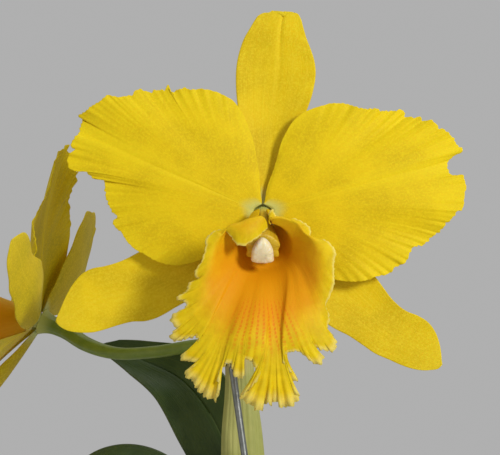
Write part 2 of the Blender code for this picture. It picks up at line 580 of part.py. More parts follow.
def lip_surface(rows):
    """The lip as one sheet: a tube around the column, open along its top, that flares from its throat to a
    deeply cut margin. Rows run from its foot to its margin, and columns round it."""
    degrees, *margin = np.array(LIP_MARGIN).T
    margin = np.stack(margin, axis=-1)
    axis = unit(LIP_THROAT - LIP_FOOT)
    right = np.array([1.0, 0, 0])
    over = np.cross(axis, right)
    turn = np.radians(degrees)[:, None]
    spoke = np.sin(turn) * right - np.cos(turn) * over
    tube_rows = int(rows * THROAT_SHARE)
    share = np.linspace(0, 1, tube_rows)[:, None, None]
    centre = (1 - share) * LIP_FOOT + share * LIP_THROAT
    tube = centre + ((1 - share) * LIP_FOOT_RADIUS + share * LIP_THROAT_RADIUS) * spoke
    flare_at = [entry[0] for entry in LIP_FLARE]
    leave = tube[-1] + through(flare_at, [entry[1] for entry in LIP_FLARE], degrees)
    arrive = margin + through(flare_at, [entry[2] for entry in LIP_FLARE], degrees)
    t = np.linspace(0, 1, rows - tube_rows + 1)[1:, None, None]
    flare = ((1 - t) ** 3 * tube[-1] + 3 * (1 - t) ** 2 * t * leave + 3 * (1 - t) * t ** 2 * arrive
             + t ** 3 * margin)
    return np.concatenate([tube, flare])


COLUMN_SPINE = [(0, 2.6, 0), (0, -5, -1.9), (0, -14, -7), (-0.2, -22.2, -12.3)]
COLUMN_HALF_WIDTHS = [3.4, 3.0, 4.6, 5.7]
COLUMN_HALF_DEPTHS = [3.4, 2.9, 3.4, 3.8]


def make_column(name, size, coat, cap_coat, flower):
    """The fleshy column, winged towards its tip, and the anther cap that sits on its end."""
    shares = np.linspace(0, 1, 9)
    path = along(COLUMN_SPINE, shares)
    widths = through(np.linspace(0, 1, 4), COLUMN_HALF_WIDTHS, shares)
    depths = through(np.linspace(0, 1, 4), COLUMN_HALF_DEPTHS, shares)
    skin(f"{name}_column", stem_rings(path, widths, depths, sides=12) * size * MM, coat, flower)
    forward = unit(path[-1] - path[-2])
    clear = GAP / MM / size + 0.3
    cap = path[-1] + forward * (clear + np.array([0, 1.4, 2.8, 3.8, 4.4]))[:, None]
    skin(f"{name}_anther_cap",
         stem_rings(cap, [3.4, 3.9, 3.5, 2.3, 0.8], [3.6, 4.2, 3.8, 2.5, 0.9], sides=12) * size * MM,
         cap_coat, flower)


def cupped(blade, share):
    """A sepal or petal swept forward by that share of the distance from its claw."""
    reach = np.maximum(np.hypot(blade[..., 0], blade[..., 2]) - CLAW_REACH, 0)
    blade[..., 1] -= share * reach
    return blade


def make_flower(name, place, turn, size, cup):
    """One flower on an empty at its centre: three sepals, two petals, a lip, a column and an anther cap.
    cup gives the parts that sweep forward, and by how much."""
    flower = bpy.data.objects.new(f"{name}_flower", None)
    flower.location = place
    flower.rotation_mode = turn.order
    flower.rotation_euler = turn
    bpy.context.scene.collection.objects.link(flower)
    scale = size * MM
    sepal_coat = finish(f"{name}_sepal", (0.62, 0.44, 0.012), 0.55)
    petal_coat = finish(f"{name}_petal", (0.72, 0.51, 0.008), 0.55)
    for part, (spine, half_widths) in SEPALS.items():
        blade = strap(spine, half_widths, [(0, -1, 0)] * 2, 12, 5, fold=(0.15, 0.05), blunt=0.06)
        blade = cupped(blade, cup.get(part, 0))
        sheet(f"{name}_{part}", blade * scale, TEPAL_THICKNESS, sepal_coat, flower)
    for part, (claw, margin, bulge) in PETALS.items():
        blade = cupped(fan(claw, margin, bulge, 7, 25), cup.get(part, 0))
        sheet(f"{name}_{part}", blade * scale, TEPAL_THICKNESS, petal_coat, flower)
    sheet(f"{name}_lip", lip_surface(11) * scale, LIP_THICKNESS,
          finish(f"{name}_lip", (0.78, 0.36, 0.006), 0.5), flower)
    make_column(name, size, finish(f"{name}_column", (0.58, 0.34, 0.02), 0.5),
                finish(f"{name}_cap", (0.72, 0.56, 0.26), 0.5), flower)
    return Matrix.LocRotScale(Vector(place), turn, Vector((size, size, size)))


def make_orchid():
    for old in list(bpy.data.objects):
        bpy.data.objects.remove(old, do_unlink=True)
    make_pot()
    make_bark()
    make_rhizome()
    make_roots()
    make_bulbs()
    make_leaves()
    make_sheath()
    front = make_flower("front", (*FRONT_FLOWER, FLOWER_HEIGHT), Euler((0, 0, 0)), FLOWER_SIZE, {})
    side_turn = Euler([math.radians(angle) for angle in SIDE_FLOWER_TURN], "YXZ")
    side = make_flower("side", (*SIDE_FLOWER, FLOWER_HEIGHT - SIDE_FLOWER_DROP), side_turn,
                       SIDE_FLOWER_SIZE, SIDE_FLOWER_CUP)
    make_flower_stems(front, side)
    make_stake()
    make_tie()


make_orchid()
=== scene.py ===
"""The looks of a potted cattleya orchid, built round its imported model. Metres, +Z up."""

import math

import bpy
import numpy as np
from mathutils import Euler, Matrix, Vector


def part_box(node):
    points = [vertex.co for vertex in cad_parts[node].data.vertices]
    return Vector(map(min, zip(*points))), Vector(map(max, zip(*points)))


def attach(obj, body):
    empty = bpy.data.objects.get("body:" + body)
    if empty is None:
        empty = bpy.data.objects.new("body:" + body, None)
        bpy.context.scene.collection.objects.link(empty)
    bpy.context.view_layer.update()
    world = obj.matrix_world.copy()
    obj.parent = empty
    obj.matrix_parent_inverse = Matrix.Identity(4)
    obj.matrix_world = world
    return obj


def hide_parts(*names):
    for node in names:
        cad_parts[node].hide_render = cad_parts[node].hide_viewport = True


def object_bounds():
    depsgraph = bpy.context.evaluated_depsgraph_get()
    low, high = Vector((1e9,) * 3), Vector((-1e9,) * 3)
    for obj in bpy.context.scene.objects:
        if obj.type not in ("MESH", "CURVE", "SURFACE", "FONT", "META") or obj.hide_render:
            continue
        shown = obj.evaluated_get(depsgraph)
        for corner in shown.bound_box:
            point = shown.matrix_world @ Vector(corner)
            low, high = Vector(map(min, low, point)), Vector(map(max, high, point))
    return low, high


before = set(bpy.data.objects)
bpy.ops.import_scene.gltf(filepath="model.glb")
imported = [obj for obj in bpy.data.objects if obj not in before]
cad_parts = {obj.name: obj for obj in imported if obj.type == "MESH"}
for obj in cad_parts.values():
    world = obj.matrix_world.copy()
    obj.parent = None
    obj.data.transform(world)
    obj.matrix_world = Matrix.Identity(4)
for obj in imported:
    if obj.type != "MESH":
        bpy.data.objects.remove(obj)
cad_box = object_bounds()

# ------------------------------------------------------------------ pot
# A plain clay flowerpot, thrown or pressed and fired once without a glaze: a tapered wall, a thick rim and
# four drain holes. Lime salts from watering leave a pale bloom on it.


class Wire:
    """One output of a shader node. Arithmetic between wires and numbers adds Math nodes."""

    def __init__(self, coat, socket):
        self.coat, self.socket = coat, socket

    def math(self, operation, *others):
        """A Math node whose first input is this wire."""
        return self.coat.node("Math", {"operation": operation}, dict(enumerate((self, *others))))

    def __add__(self, other):
        return self.math("ADD", other)

    def __sub__(self, other):
        return self.math("SUBTRACT", other)

    def __rsub__(self, other):
        return self.coat.node("Math", {"operation": "SUBTRACT"}, {0: other, 1: self})

    def __mul__(self, other):
        return self.math("MULTIPLY", other)

    def __pow__(self, other):
        return self.math("POWER", other)

    __radd__, __rmul__ = __add__, __mul__

    def step(self, low, high):
        """0 below low, 1 above high, and a smooth rise between them. low may be the larger."""
        return self.coat.node("MapRange", {"interpolation_type": "SMOOTHSTEP"},
                              {"Value": self, "From Min": low, "From Max": high})


class Coat:
    """A material on a Principled shader, whose nodes are added by name."""

    def __init__(self, name, **constants):
        self.material = bpy.data.materials.new(name)
        self.material.use_nodes = True
        self.tree = self.material.node_tree
        self.shader = self.tree.nodes["Principled BSDF"]
        self.set(self.shader, constants)

    def set(self, node, values):
        """Gives a node's inputs their values, or links them where the value is a wire."""
        for key, value in values.items():
            key = key.replace("_", " ") if isinstance(key, str) else key
            if isinstance(value, Wire):
                self.tree.links.new(value.socket, node.inputs[key])
            elif isinstance(value, tuple) and len(value) == 3 and node.inputs[key].type == "RGBA":
                node.inputs[key].default_value = (*value, 1.0)
            else:
                node.inputs[key].default_value = value

    def node(self, kind, settings=None, values=None, output=0):
        """One shader node of that type, with its settings, then its input values or links."""
        made = self.tree.nodes.new("ShaderNode" + kind)
        for key, value in (settings or {}).items():
            setattr(made, key, value)
        self.set(made, values or {})
        return Wire(self, made.outputs[output])

    def mix(self, factor, first, second):
        """first where the factor is 0, and second where it is 1."""
        made = self.tree.nodes.new("ShaderNodeMix")
        made.data_type = "RGBA"
        self.set(made, {0: factor, 6: first, 7: second})
        return Wire(self, made.outputs[2])

    def layered(self, base, *layers):
        """A base colour with the colour of each (mask, colour) pair laid over it in turn."""
        for mask, colour in layers:
            base = self.mix(mask, base, colour)
        return base

    def spot(self):
        """Object coordinates, in metres."""
        return self.node("TexCoord", output="Object")

    def stretched(self, scale):
        """Object coordinates, stretched by that many times along each axis."""
        return self.node("Mapping", values={"Vector": self.spot(), "Scale": scale})

    def noise(self, where, scale, detail=2.0, roughness=0.5):
        """Noise read at some coordinates times a scale."""
        return self.node("TexNoise", values={"Vector": where, "Scale": scale, "Detail": detail,
                                             "Roughness": roughness})

    def mottle(self, scale, detail=2.0, roughness=0.5):
        """Noise with that many blotches to the metre."""
        return self.noise(self.spot(), scale, detail, roughness)

    def streaks(self, x, y, z, detail, roughness=0.5):
        """Noise on the piece's own grid, stretched by what its coordinates are multiplied by."""
        return self.noise(self.node("CombineXYZ", values={0: x, 1: y, 2: z}), 1.0, detail, roughness)

    def grain(self, name="grain"):
        """A named vector of the piece's points, as three wires. The grain's run across the veins and from
        foot to margin, and the third is 1 on the front."""
        made = self.tree.nodes.new("ShaderNodeSeparateXYZ")
        self.set(made, {0: self.node("Attribute", {"attribute_name": name}, output="Vector")})
        return [Wire(self, output) for output in made.outputs]

    def finish(self, colour, roughness=None, bump=None, depth=0.0002):
        """Links what changes over the surface to the shader."""
        self.set(self.shader, {"Base Color": colour})
        if roughness is not None:
            self.set(self.shader, {"Roughness": roughness})
        if bump is not None:
            self.set(self.shader, {"Normal": self.node("Bump", values={"Height": bump, "Distance": depth})})
        return self.material


def grid_faces(rows, columns, closed=False):
    """Corner numbers of the quads of a grid stored row by row. Closed joins the last column to the first."""
    row, column = np.meshgrid(np.arange(rows - 1), np.arange(columns if closed else columns - 1),
                              indexing="ij")
    beside = (column + 1) % columns
    return np.stack([row * columns + column, row * columns + beside,
                     (row + 1) * columns + beside, (row + 1) * columns + column], axis=-1).reshape(-1, 4)


def piece(name, points, faces, coat, slot, replaces=(), smooth=True, **layers):
    """One finished piece from an array of points and arrays of faces, quads or triangles, with a named
    vector at each point for each layer. It rides on the plant's one body."""
    points = np.asarray(points, float).reshape(-1, 3)
    faces = [np.asarray(group) for group in (faces if isinstance(faces, list) else [faces])]
    sides = np.concatenate([np.full(len(group), group.shape[1]) for group in faces])
    mesh = bpy.data.meshes.new(name)
    mesh.vertices.add(len(points))
    mesh.vertices.foreach_set("co", points.ravel())
    mesh.loops.add(sides.sum())
    mesh.loops.foreach_set("vertex_index", np.concatenate([group.ravel() for group in faces]))
    mesh.polygons.add(len(sides))
    mesh.polygons.foreach_set("loop_start", np.cumsum(sides) - sides)
    mesh.polygons.foreach_set("loop_total", sides)
    mesh.update(calc_edges=True)
    mesh.polygons.foreach_set("use_smooth", np.full(len(sides), smooth))
    for layer, values in layers.items():
        made = mesh.attributes.new(layer, "FLOAT_VECTOR", "POINT")
        made.data.foreach_set("vector", np.asarray(values, float).ravel())
    made = bpy.data.objects.new(name, mesh)
    made.data.materials.append(coat)
    bpy.context.scene.collection.objects.link(made)
    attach(made, "root")
    if replaces:
        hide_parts(*replaces)
    return made


def unit(vectors):
    """Each vector divided by its length."""
    return vectors / np.maximum(np.linalg.norm(vectors, axis=-1, keepdims=True), 1e-12)


def skin(rings, tips):
    """A closed surface from rings of points that turn right-handed about the way they follow each other, and
    one point beyond each end: quads between rings, and triangles from the end rings to those points."""
    count, sides, _ = rings.shape
    number = np.arange(sides)
    beside, end, foot = (number + 1) % sides, (count - 1) * sides, count * sides
    fans = [np.stack([np.full(sides, foot), beside, number], axis=-1),
            np.stack([np.full(sides, foot + 1), end + number, end + beside], axis=-1)]
    return (np.concatenate([rings.reshape(-1, 3), np.asarray(tips, float)]),
            [grid_faces(count, sides, closed=True), np.concatenate(fans)])


def full_turn(count):
    """That many even angles once round, from 0."""
    return np.linspace(0, 2 * math.pi, count, endpoint=False)


def turned(profile, sides):
    """Points and faces of a profile of (radius, height) swept once round Z. Its two ends lie on the axis."""
    turn = full_turn(sides)
    radius, height = np.asarray(profile[1:-1], float).T
    rings = np.stack([radius[:, None] * np.cos(turn), radius[:, None] * np.sin(turn),
                      np.repeat(height[:, None], sides, axis=1)], axis=-1)
    return skin(rings, [(0, 0, profile[0][1]), (0, 0, profile[-1][1])])


def rounded(corners, radius, steps=6):
    """A profile through corners with each inner corner cut back by radius and eased: a quadratic curve from
    the cut point before it, towards the corner, to the cut point after it."""
    corners = np.asarray(corners, float)
    points = [corners[:1]]
    t = np.linspace(0, 1, steps)[:, None]
    for before, corner, after in zip(corners[:-2], corners[1:-1], corners[2:]):
        ease = min(radius, 0.45 * np.linalg.norm(before - corner), 0.45 * np.linalg.norm(after - corner))
        start = corner + ease * unit(before - corner)
        end = corner + ease * unit(after - corner)
        points.append((1 - t) ** 2 * start + 2 * t * (1 - t) * corner + t ** 2 * end)
    points.append(corners[-1:])
    return np.concatenate(points)


pot_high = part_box("pot")[1]
pot_height, pot_radius = pot_high.z, pot_high.x
base_radius, wall, floor_z = 0.0520, 0.0065, 0.0080
rim_height, rim_step = 0.024, 0.0045
neck = pot_radius - rim_step


def wall_radius(height):
    """The outer radius of the tapered wall at a height: a straight line from the base to the rim's foot."""
    return base_radius + (neck - base_radius) * height / pot_height


rim_foot = pot_height - rim_height
under_rim = wall_radius(rim_foot)
rim_bevel, edge_ease = 0.0020, 0.0018
pot_profile = rounded(
    [(0, 0), (base_radius, 0), (under_rim, rim_foot), (under_rim + rim_step, rim_foot),
     (pot_radius, pot_height - rim_bevel), (pot_radius - rim_bevel, pot_height), (neck - wall, pot_height),
     (wall_radius(floor_z) - wall, floor_z), (0, floor_z)], edge_ease)
long_side = 0.004  # straight stretches over this length are cut into 14
fine = [np.linspace(start, end, 14 if np.linalg.norm(end - start) > long_side else 1, endpoint=False)
        for start, end in zip(pot_profile[:-1], pot_profile[1:])]
pot_points, pot_faces = turned(np.concatenate(fine + [pot_profile[-1:]]), 180)

clay = Coat("fired_clay", Specular_IOR_Level=0.25)
where = clay.spot()
speckle = clay.noise(where, 900, 3, 0.6)
bands = clay.noise(clay.stretched((8, 8, 260)), 1.0, 3, 0.55)
patch = clay.noise(where, 26, 5, 0.62)
height = clay.node("SeparateXYZ", values={0: where}, output=2)
damp = height.step(0.060, 0.012) * 0.55
bloom = patch.step(0.50, 0.72) * height.step(0.005, 0.035) * 0.55
colour = clay.layered((0.37, 0.135, 0.062), (bands.step(0.3, 0.7), (0.47, 0.19, 0.095)),
                      (speckle.step(0.56, 0.72) * 0.5, (0.60, 0.33, 0.20)),
                      (damp * patch.step(0.35, 0.6), (0.22, 0.085, 0.045)), (bloom, (0.66, 0.56, 0.47)))
clay.finish(colour, roughness=0.75 + 0.2 * patch, bump=speckle * 0.35 + bands * 0.65, depth=0.0004)
pot = piece("clay_pot", pot_points, pot_faces, clay.material, "terracotta", ["pot"])

drain_radius, drain_circle, drain_count = 0.006, 0.029, 4
for index in range(drain_count):
    turn = 2 * math.pi * (index + 0.5) / drain_count
    bpy.ops.mesh.primitive_cylinder_add(vertices=32, radius=drain_radius, depth=4 * floor_z, location=(
        drain_circle * math.cos(turn), drain_circle * math.sin(turn), 0))
    drill = bpy.context.object
    hole = pot.modifiers.new("Drain", "BOOLEAN")
    hole.operation, hole.solver, hole.object = "DIFFERENCE", "EXACT", drill
    bpy.context.view_layer.objects.active = pot
    bpy.ops.object.modifier_apply(modifier=hole.name)
    bpy.data.objects.remove(drill, do_unlink=True)

# ------------------------------------------------------------------ bark
# The plant grows in coarse fir bark, broken into flat chips. The deep bark is one dark mass, and the chips
# that show are loose pieces laid over it at all angles.

bark = Coat("bark_fill", Roughness=0.9)
bark.finish(bark.mix(bark.mottle(320, 4), (0.035, 0.017, 0.009), (0.13, 0.07, 0.036)),
            bump=bark.mottle(260, 5), depth=0.002)
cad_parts["bark_mix"].data.materials.clear()
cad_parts["bark_mix"].data.materials.append(bark.material)

MM = 0.001  # a millimetre, in metres
bark_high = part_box("bark_mix")[1]
chip_count, bare_ring = 620, 4.5 * MM  # loose chips, and the ring they leave free beside the pot's wall
draw = np.random.default_rng(11)


def chips(count, spread, level):
    """Flat bark chips: a cube whose faces are cut into 3 by 3, each point pulled in to a rounded block and
    moved at random, then sized, turned and laid at a random place on a disc. Returns points, faces and
    three random numbers for each chip."""
    side = np.linspace(-1, 1, 4)
    a, b = np.meshgrid(side, side, indexing="ij")
    cube = []
    for axis in range(3):
        for end in (-1, 1):
            face = np.stack([a, b, np.full_like(a, end)], axis=-1)
            cube.append(np.roll(face if end > 0 else face[::-1], axis + 1, axis=-1))
    corners, index = np.unique(np.round(np.reshape(cube, (-1, 3)), 6), axis=0, return_inverse=True)
    quads = np.concatenate([numbers[grid_faces(4, 4)] for numbers in index.reshape(6, 16)])
    block = corners * (1 - 0.10 * (np.abs(corners).sum(1, keepdims=True) - 1))
    size = np.stack([draw.uniform(3.2, 7.5, count), draw.uniform(2.4, 5.0, count),
                     draw.uniform(0.9, 2.2, count)], axis=-1) * MM
    shape = block * (1 + draw.normal(0, 0.13, (count, len(block), 3))) * size[:, None]
    yaw = draw.uniform(0, 2 * math.pi, count)
    tilt_x, tilt_y = draw.normal(0, 0.33, count), draw.normal(0, 0.33, count)
    spin = np.zeros((count, 3, 3))
    for number, way in enumerate(np.eye(3)):
        x, y, z = (np.full(count, value) for value in way)
        y, z = y * np.cos(tilt_x) - z * np.sin(tilt_x), y * np.sin(tilt_x) + z * np.cos(tilt_x)
        x, z = x * np.cos(tilt_y) + z * np.sin(tilt_y), -x * np.sin(tilt_y) + z * np.cos(tilt_y)
        x, y = x * np.cos(yaw) - y * np.sin(yaw), x * np.sin(yaw) + y * np.cos(yaw)
        spin[:, :, number] = np.stack([x, y, z], axis=-1)
    shape = np.einsum("nij,nkj->nki", spin, shape)
    radius, angle = spread * np.sqrt(draw.uniform(0, 1, count)), draw.uniform(0, 2 * math.pi, count)
    height = level + draw.uniform(-2.2, 1.3, count) * MM
    place = np.stack([radius * np.cos(angle), radius * np.sin(angle), height], axis=-1)
    points = shape + place[:, None]
    faces = quads[None] + (np.arange(count) * len(block))[:, None, None]
    tone = np.repeat(draw.uniform(0, 1, (count, 3)), len(block), axis=0)
    return points.reshape(-1, 3), faces.reshape(-1, 4)[:, ::-1], tone


chip = Coat("bark_chips", Specular_IOR_Level=0.3)
tone, lay, _ = chip.grain()
where = chip.spot()
fibre = chip.noise(chip.stretched((900, 160, 160)), 1.0, 3)
layer = chip.noise(where, 420, 4, 0.6)
colour = chip.layered((0.10, 0.045, 0.020), (tone, (0.30, 0.155, 0.075)),
                      (layer.step(0.42, 0.7), (0.055, 0.028, 0.016)),
                      (lay.step(0.8, 0.95) * 0.6, (0.42, 0.30, 0.19)))
chip.finish(colour, roughness=0.72 + 0.25 * layer, bump=fibre * 0.5 + layer, depth=0.0009)
chip_points, chip_mesh, chip_tone = chips(chip_count, bark_high.x - bare_ring, bark_high.z)
piece("bark_chips", chip_points, chip_mesh, chip.material, "bark", grain=chip_tone, smooth=False)

# ------------------------------------------------------------------ rhizome and roots
# A woody stem creeps over the bark and joins the growths. It is ringed by the scars of old scales. Thick
# roots with a spongy silver skin leave it, cross the bark and hang over the pot's rim.


def through(knots, values, at):
    """A smooth curve through values at knots: cubic pieces whose slope at a knot follows its neighbours."""
    knots = np.asarray(knots, float)
    values = np.asarray(values, float).reshape(len(knots), -1)
    at = np.clip(np.asarray(at, float), knots[0], knots[-1])
    slopes = np.gradient(values, knots, axis=0)
    part = np.clip(np.searchsorted(knots, at, side="right") - 1, 0, len(knots) - 2)
    step = (knots[part + 1] - knots[part])[..., None]
    t = (at - knots[part])[..., None] / step
    return ((1 + 2 * t) * (1 - t) ** 2 * values[part] + t * (1 - t) ** 2 * step * slopes[part]
            + t * t * (3 - 2 * t) * values[part + 1] + t * t * (t - 1) * step * slopes[part + 1])


def even(values, at):
    """A smooth curve of single numbers given at even shares, read at other shares."""
    return through(np.linspace(0, 1, len(values)), values, at)[..., 0]


def along(points, at):
    """A smooth curve through points, at shares 0 to 1 of the straight distances between them."""
    points = np.asarray(points, float)
    steps = np.linalg.norm(np.diff(points, axis=0), axis=1)
    return through(np.concatenate([[0], np.cumsum(steps)]) / steps.sum(), points, at)


def tube(path, widths, depths, side, sides, ripple=None):
    """Rings square to a path: each point is the path plus a half width along one direction times the cosine
    of its turn, plus a half depth along the other times the sine. ripple scales each point's distance from
    the path. A point at each end of the path closes it. Returns points, faces and the grain."""
    forward = unit(np.gradient(path, axis=0))
    side = np.broadcast_to(np.asarray(side, float), path.shape)
    across = unit(side - (side * forward).sum(1, keepdims=True) * forward)
    over = np.cross(forward, across)
    turn = full_turn(sides)
    ripple = np.ones((len(path), sides)) if ripple is None else ripple
    widths = np.broadcast_to(widths, len(path))[:, None]
    depths = np.broadcast_to(depths, len(path))[:, None]
    rings = (path[:, None] + (ripple * widths * np.cos(turn))[..., None] * across[:, None]
             + (ripple * depths * np.sin(turn))[..., None] * over[:, None])
    points, faces = skin(rings, [path[0], path[-1]])
    share = np.linspace(0, 1, len(path))[:, None] * np.ones(sides)
    around = np.broadcast_to(turn / (2 * math.pi), share.shape)
    grain = np.stack([around, share, np.ones_like(share)], axis=-1)
    return points, faces, np.concatenate([grain.reshape(-1, 3), [(0, 0, 1), (0, 1, 1)]])


def ends_rounded(share, reach):
    """1 along a stem, falling almost to 0 over reach of its length at each end, as a quarter circle does."""
    near_end = np.clip(np.minimum(share, 1 - share) / reach, 0, 1)
    return np.sqrt(np.clip(1 - (1 - near_end) ** 2, 0.01, 1))


def cad_points(node):
    """A CAD node's points, as an array."""
    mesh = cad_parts[node].data
    points = np.empty(len(mesh.vertices) * 3)
    mesh.vertices.foreach_get("co", points)
    return points.reshape(-1, 3)


def cad_end(node, axis=2, sign=1, reach=0.0012):
    """The middle of a CAD node's end: its points within reach of its furthest one along an axis."""
    points = cad_points(node)
    far = (sign * points[:, axis]).max()
    return points[sign * points[:, axis] > far - reach].mean(0)


growths = ["2", "1", "3", "4"]
feet = {which: cad_end(f"pseudobulb_{which}", sign=-1) for which in growths}
tops = {which: cad_end(f"pseudobulb_{which}") for which in growths}
rhizome_low, rhizome_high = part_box("rhizome")
rhizome_radius = (rhizome_high.z - rhizome_low.z) / 2
rhizome_z = (rhizome_high.z + rhizome_low.z) / 2

stem_share = np.linspace(0, 1, 260)
oldest = feet["4"] * (1, 1, 0)
front_tip, back_end = feet["2"] + (-0.009, -0.005, 0), oldest + 0.0077 * unit(oldest)
stops = [front_tip, *feet.values(), back_end]
creep = along(np.array(stops) * (1, 1, 0), stem_share)
creep[:, 2] = rhizome_z
sides, scars = 40, 17
ring = 1 + 0.07 * np.abs(np.sin(math.pi * scars * stem_share)) ** 6 + 0.03 * np.sin(41 * stem_share)
ripple = ring[:, None] + 0.025 * np.sin(np.arange(sides) * 2 * math.pi * 5 / sides + 9 * stem_share[:, None])
closing = ends_rounded(stem_share, 0.05)
points, faces, grain = tube(creep, rhizome_radius * 0.98 * closing, rhizome_radius * 0.94 * closing,
                            (0, 0, 1), sides, ripple)
woody = Coat("rhizome_skin", Specular_IOR_Level=0.35)
turn_at, share_at, _ = woody.grain()
rings = woody.streaks(turn_at * 2, share_at * 60, 0, 3)
fibres = woody.streaks(turn_at * 60, share_at * 10, 0, 3)
colour = woody.layered((0.20, 0.15, 0.055), (rings.step(0.35, 0.65), (0.115, 0.125, 0.04)),
                       (fibres.step(0.5, 0.7) * 0.6, (0.33, 0.25, 0.13)))
woody.finish(colour, roughness=0.55 + 0.3 * fibres, bump=rings + fibres, depth=0.0006)
piece("rhizome_stem", points, faces, woody.material, "rhizome", ["rhizome"], grain=grain)

root_coat = Coat("root_skin", Specular_IOR_Level=0.3)
turn_at, share_at, _ = root_coat.grain()
pores = root_coat.mottle(1600, 3, 0.6)
stain = root_coat.mottle(120, 4, 0.6)
colour = root_coat.layered((0.50, 0.50, 0.42), (pores, (0.72, 0.72, 0.64)),
                           (stain.step(0.5, 0.75) * 0.5, (0.36, 0.33, 0.20)),
                           (share_at.step(0.90, 0.985), (0.22, 0.34, 0.07)))
root_coat.finish(colour, roughness=0.9 - 0.35 * share_at.step(0.90, 0.99), bump=pores + stain, depth=0.0003)

root_radius, root_gap = 0.0022, 0.0004
bed = rhizome_low.z + root_radius
over_rim = pot_height + root_gap + root_radius
inner = neck - wall


def rim_route(start, turn, drop):
    """A root's way from its start, low over the bark, up and over the rim and down the pot's outside."""
    way = np.array([math.cos(turn), math.sin(turn), 0])
    up = np.array([0, 0, 1.0])
    beside = pot_radius + root_gap + root_radius
    stops = [(inner - 0.010, bed + 0.004), (inner - 0.006, over_rim - 0.004), (inner, over_rim),
             (pot_radius - 0.002, over_rim + 0.001),
             (beside + 0.001, pot_height - 0.004), (beside + 0.001, pot_height - 0.5 * rim_height),
             (beside, pot_height - drop)]
    return [np.array(start)] + [way * radius + up * z for radius, z in stops]


clear = 1.2 * (rhizome_radius + root_gap + root_radius)
root_routes = {
    "root_1": rim_route((-0.008, -0.0095 - clear, bed), math.radians(-128), 0.052),
    "root_2": rim_route((0.050, 0.0295 - clear, bed), math.radians(-12), 0.040),
    "root_3": [(0.000, -0.003 + clear, bed), (-0.014, 0.022, bed), (-0.030, 0.030, bed),
               (-0.046, 0.026, bed)],
}
for number, (name, route) in enumerate(root_routes.items()):
    share = np.linspace(0, 1, 220)
    path = along(route, share)
    lead = path[0] + (path[0] - path[6]) * np.linspace(1.0, 0, 12, endpoint=False)[:, None]
    path = np.concatenate([lead, path])
    share = np.linspace(0, 1, len(path))
    knobs = 1 + 0.05 * np.sin(37 * share + number) + 0.03 * np.sin(83 * share)
    thick = root_radius * knobs * (1 - 0.35 * share ** 6) * ends_rounded(share, 0.02)
    points, faces, grain = tube(path, thick, thick, (0, 0, 1), 24)
    piece(f"{name}_skin", points, faces, root_coat.material, "root", [name], grain=grain)

# ------------------------------------------------------------------ pseudobulbs
# Each growth is a swollen, slightly flattened stem, ribbed lengthwise and wrapped low down in dry papery
# bracts that have split and frayed at their upper edge.

bulb_shares = [0, 0.08, 0.25, 0.45, 0.65, 0.82, 0.94, 1]
bulb_half_widths = np.array([4.6, 5.4, 7.2, 10.2, 11.6, 9.6, 6.2, 5.0]) * MM
bulb_half_depths = np.array([4.2, 4.8, 5.8, 7.6, 8.4, 7.0, 4.8, 4.0]) * MM
bulb_bends = {"1": [(0, 0, 0), (-1, 4, 40), (-4, 10, 88), (-5, 14, 134)],
              "2": [(0, 0, 0), (-1, 1, 34), (-2, 3, 74), (-3, 5, 110)],
              "3": [(0, 0, 0), (1, 3, 34), (4, 7, 72), (7, 10, 106)],
              "4": [(0, 0, 0), (1, 1, 28), (3, 3, 62), (6, 5, 92)]}
bulb_stoutness = {"1": 1.0, "2": 0.95, "3": 1.05, "4": 0.95}
bulb_age = {"1": 0.15, "2": 0.0, "3": 0.6, "4": 1.0}  # 0 fresh green, 1 yellowed
bract_layers = [(0.0, 0.24, 0.4), (0.10, 0.46, 2.9)]  # shares of the bulb covered, and the angle of the split
bract_thickness = 0.00025

bulb_coat = Coat("bulb_skin", Specular_IOR_Level=0.45, Coat_Weight=0.12)
turn_at, share_at, age = bulb_coat.grain()
ribs = bulb_coat.streaks(turn_at * 46, share_at * 2.2, age * 7, 3)
mottle = bulb_coat.mottle(130, 4, 0.6)
colour = bulb_coat.layered((0.125, 0.18, 0.04), (mottle.step(0.3, 0.7), (0.20, 0.25, 0.065)),
                           (age * 0.55, (0.27, 0.26, 0.085)),
                           (ribs.step(0.5, 0.72) * 0.5, (0.075, 0.105, 0.022)),
                           (share_at.step(0.30, 0.0) * 0.55, (0.30, 0.24, 0.10)))
bulb_coat.finish(colour, roughness=0.36 + 0.25 * mottle, bump=ribs, depth=0.0008)

wrap = Coat("dry_bract", Specular_IOR_Level=0.25)
turn_at, share_at, _ = wrap.grain()
veins = wrap.streaks(turn_at * 90, share_at * 3, 0, 3)
blotch = wrap.mottle(190, 4, 0.6)
colour = wrap.layered((0.34, 0.27, 0.17), (veins, (0.60, 0.52, 0.38)),
                      (blotch.step(0.52, 0.75) * 0.7, (0.20, 0.13, 0.07)))
wrap.finish(colour, roughness=0.8 + 0.1 * blotch, bump=veins, depth=0.0005)


def bell(values, middle, width):
    """1 at the middle, falling off each way as a bell curve does: to 0.37 at one width."""
    return np.exp(-((values - middle) / width) ** 2)


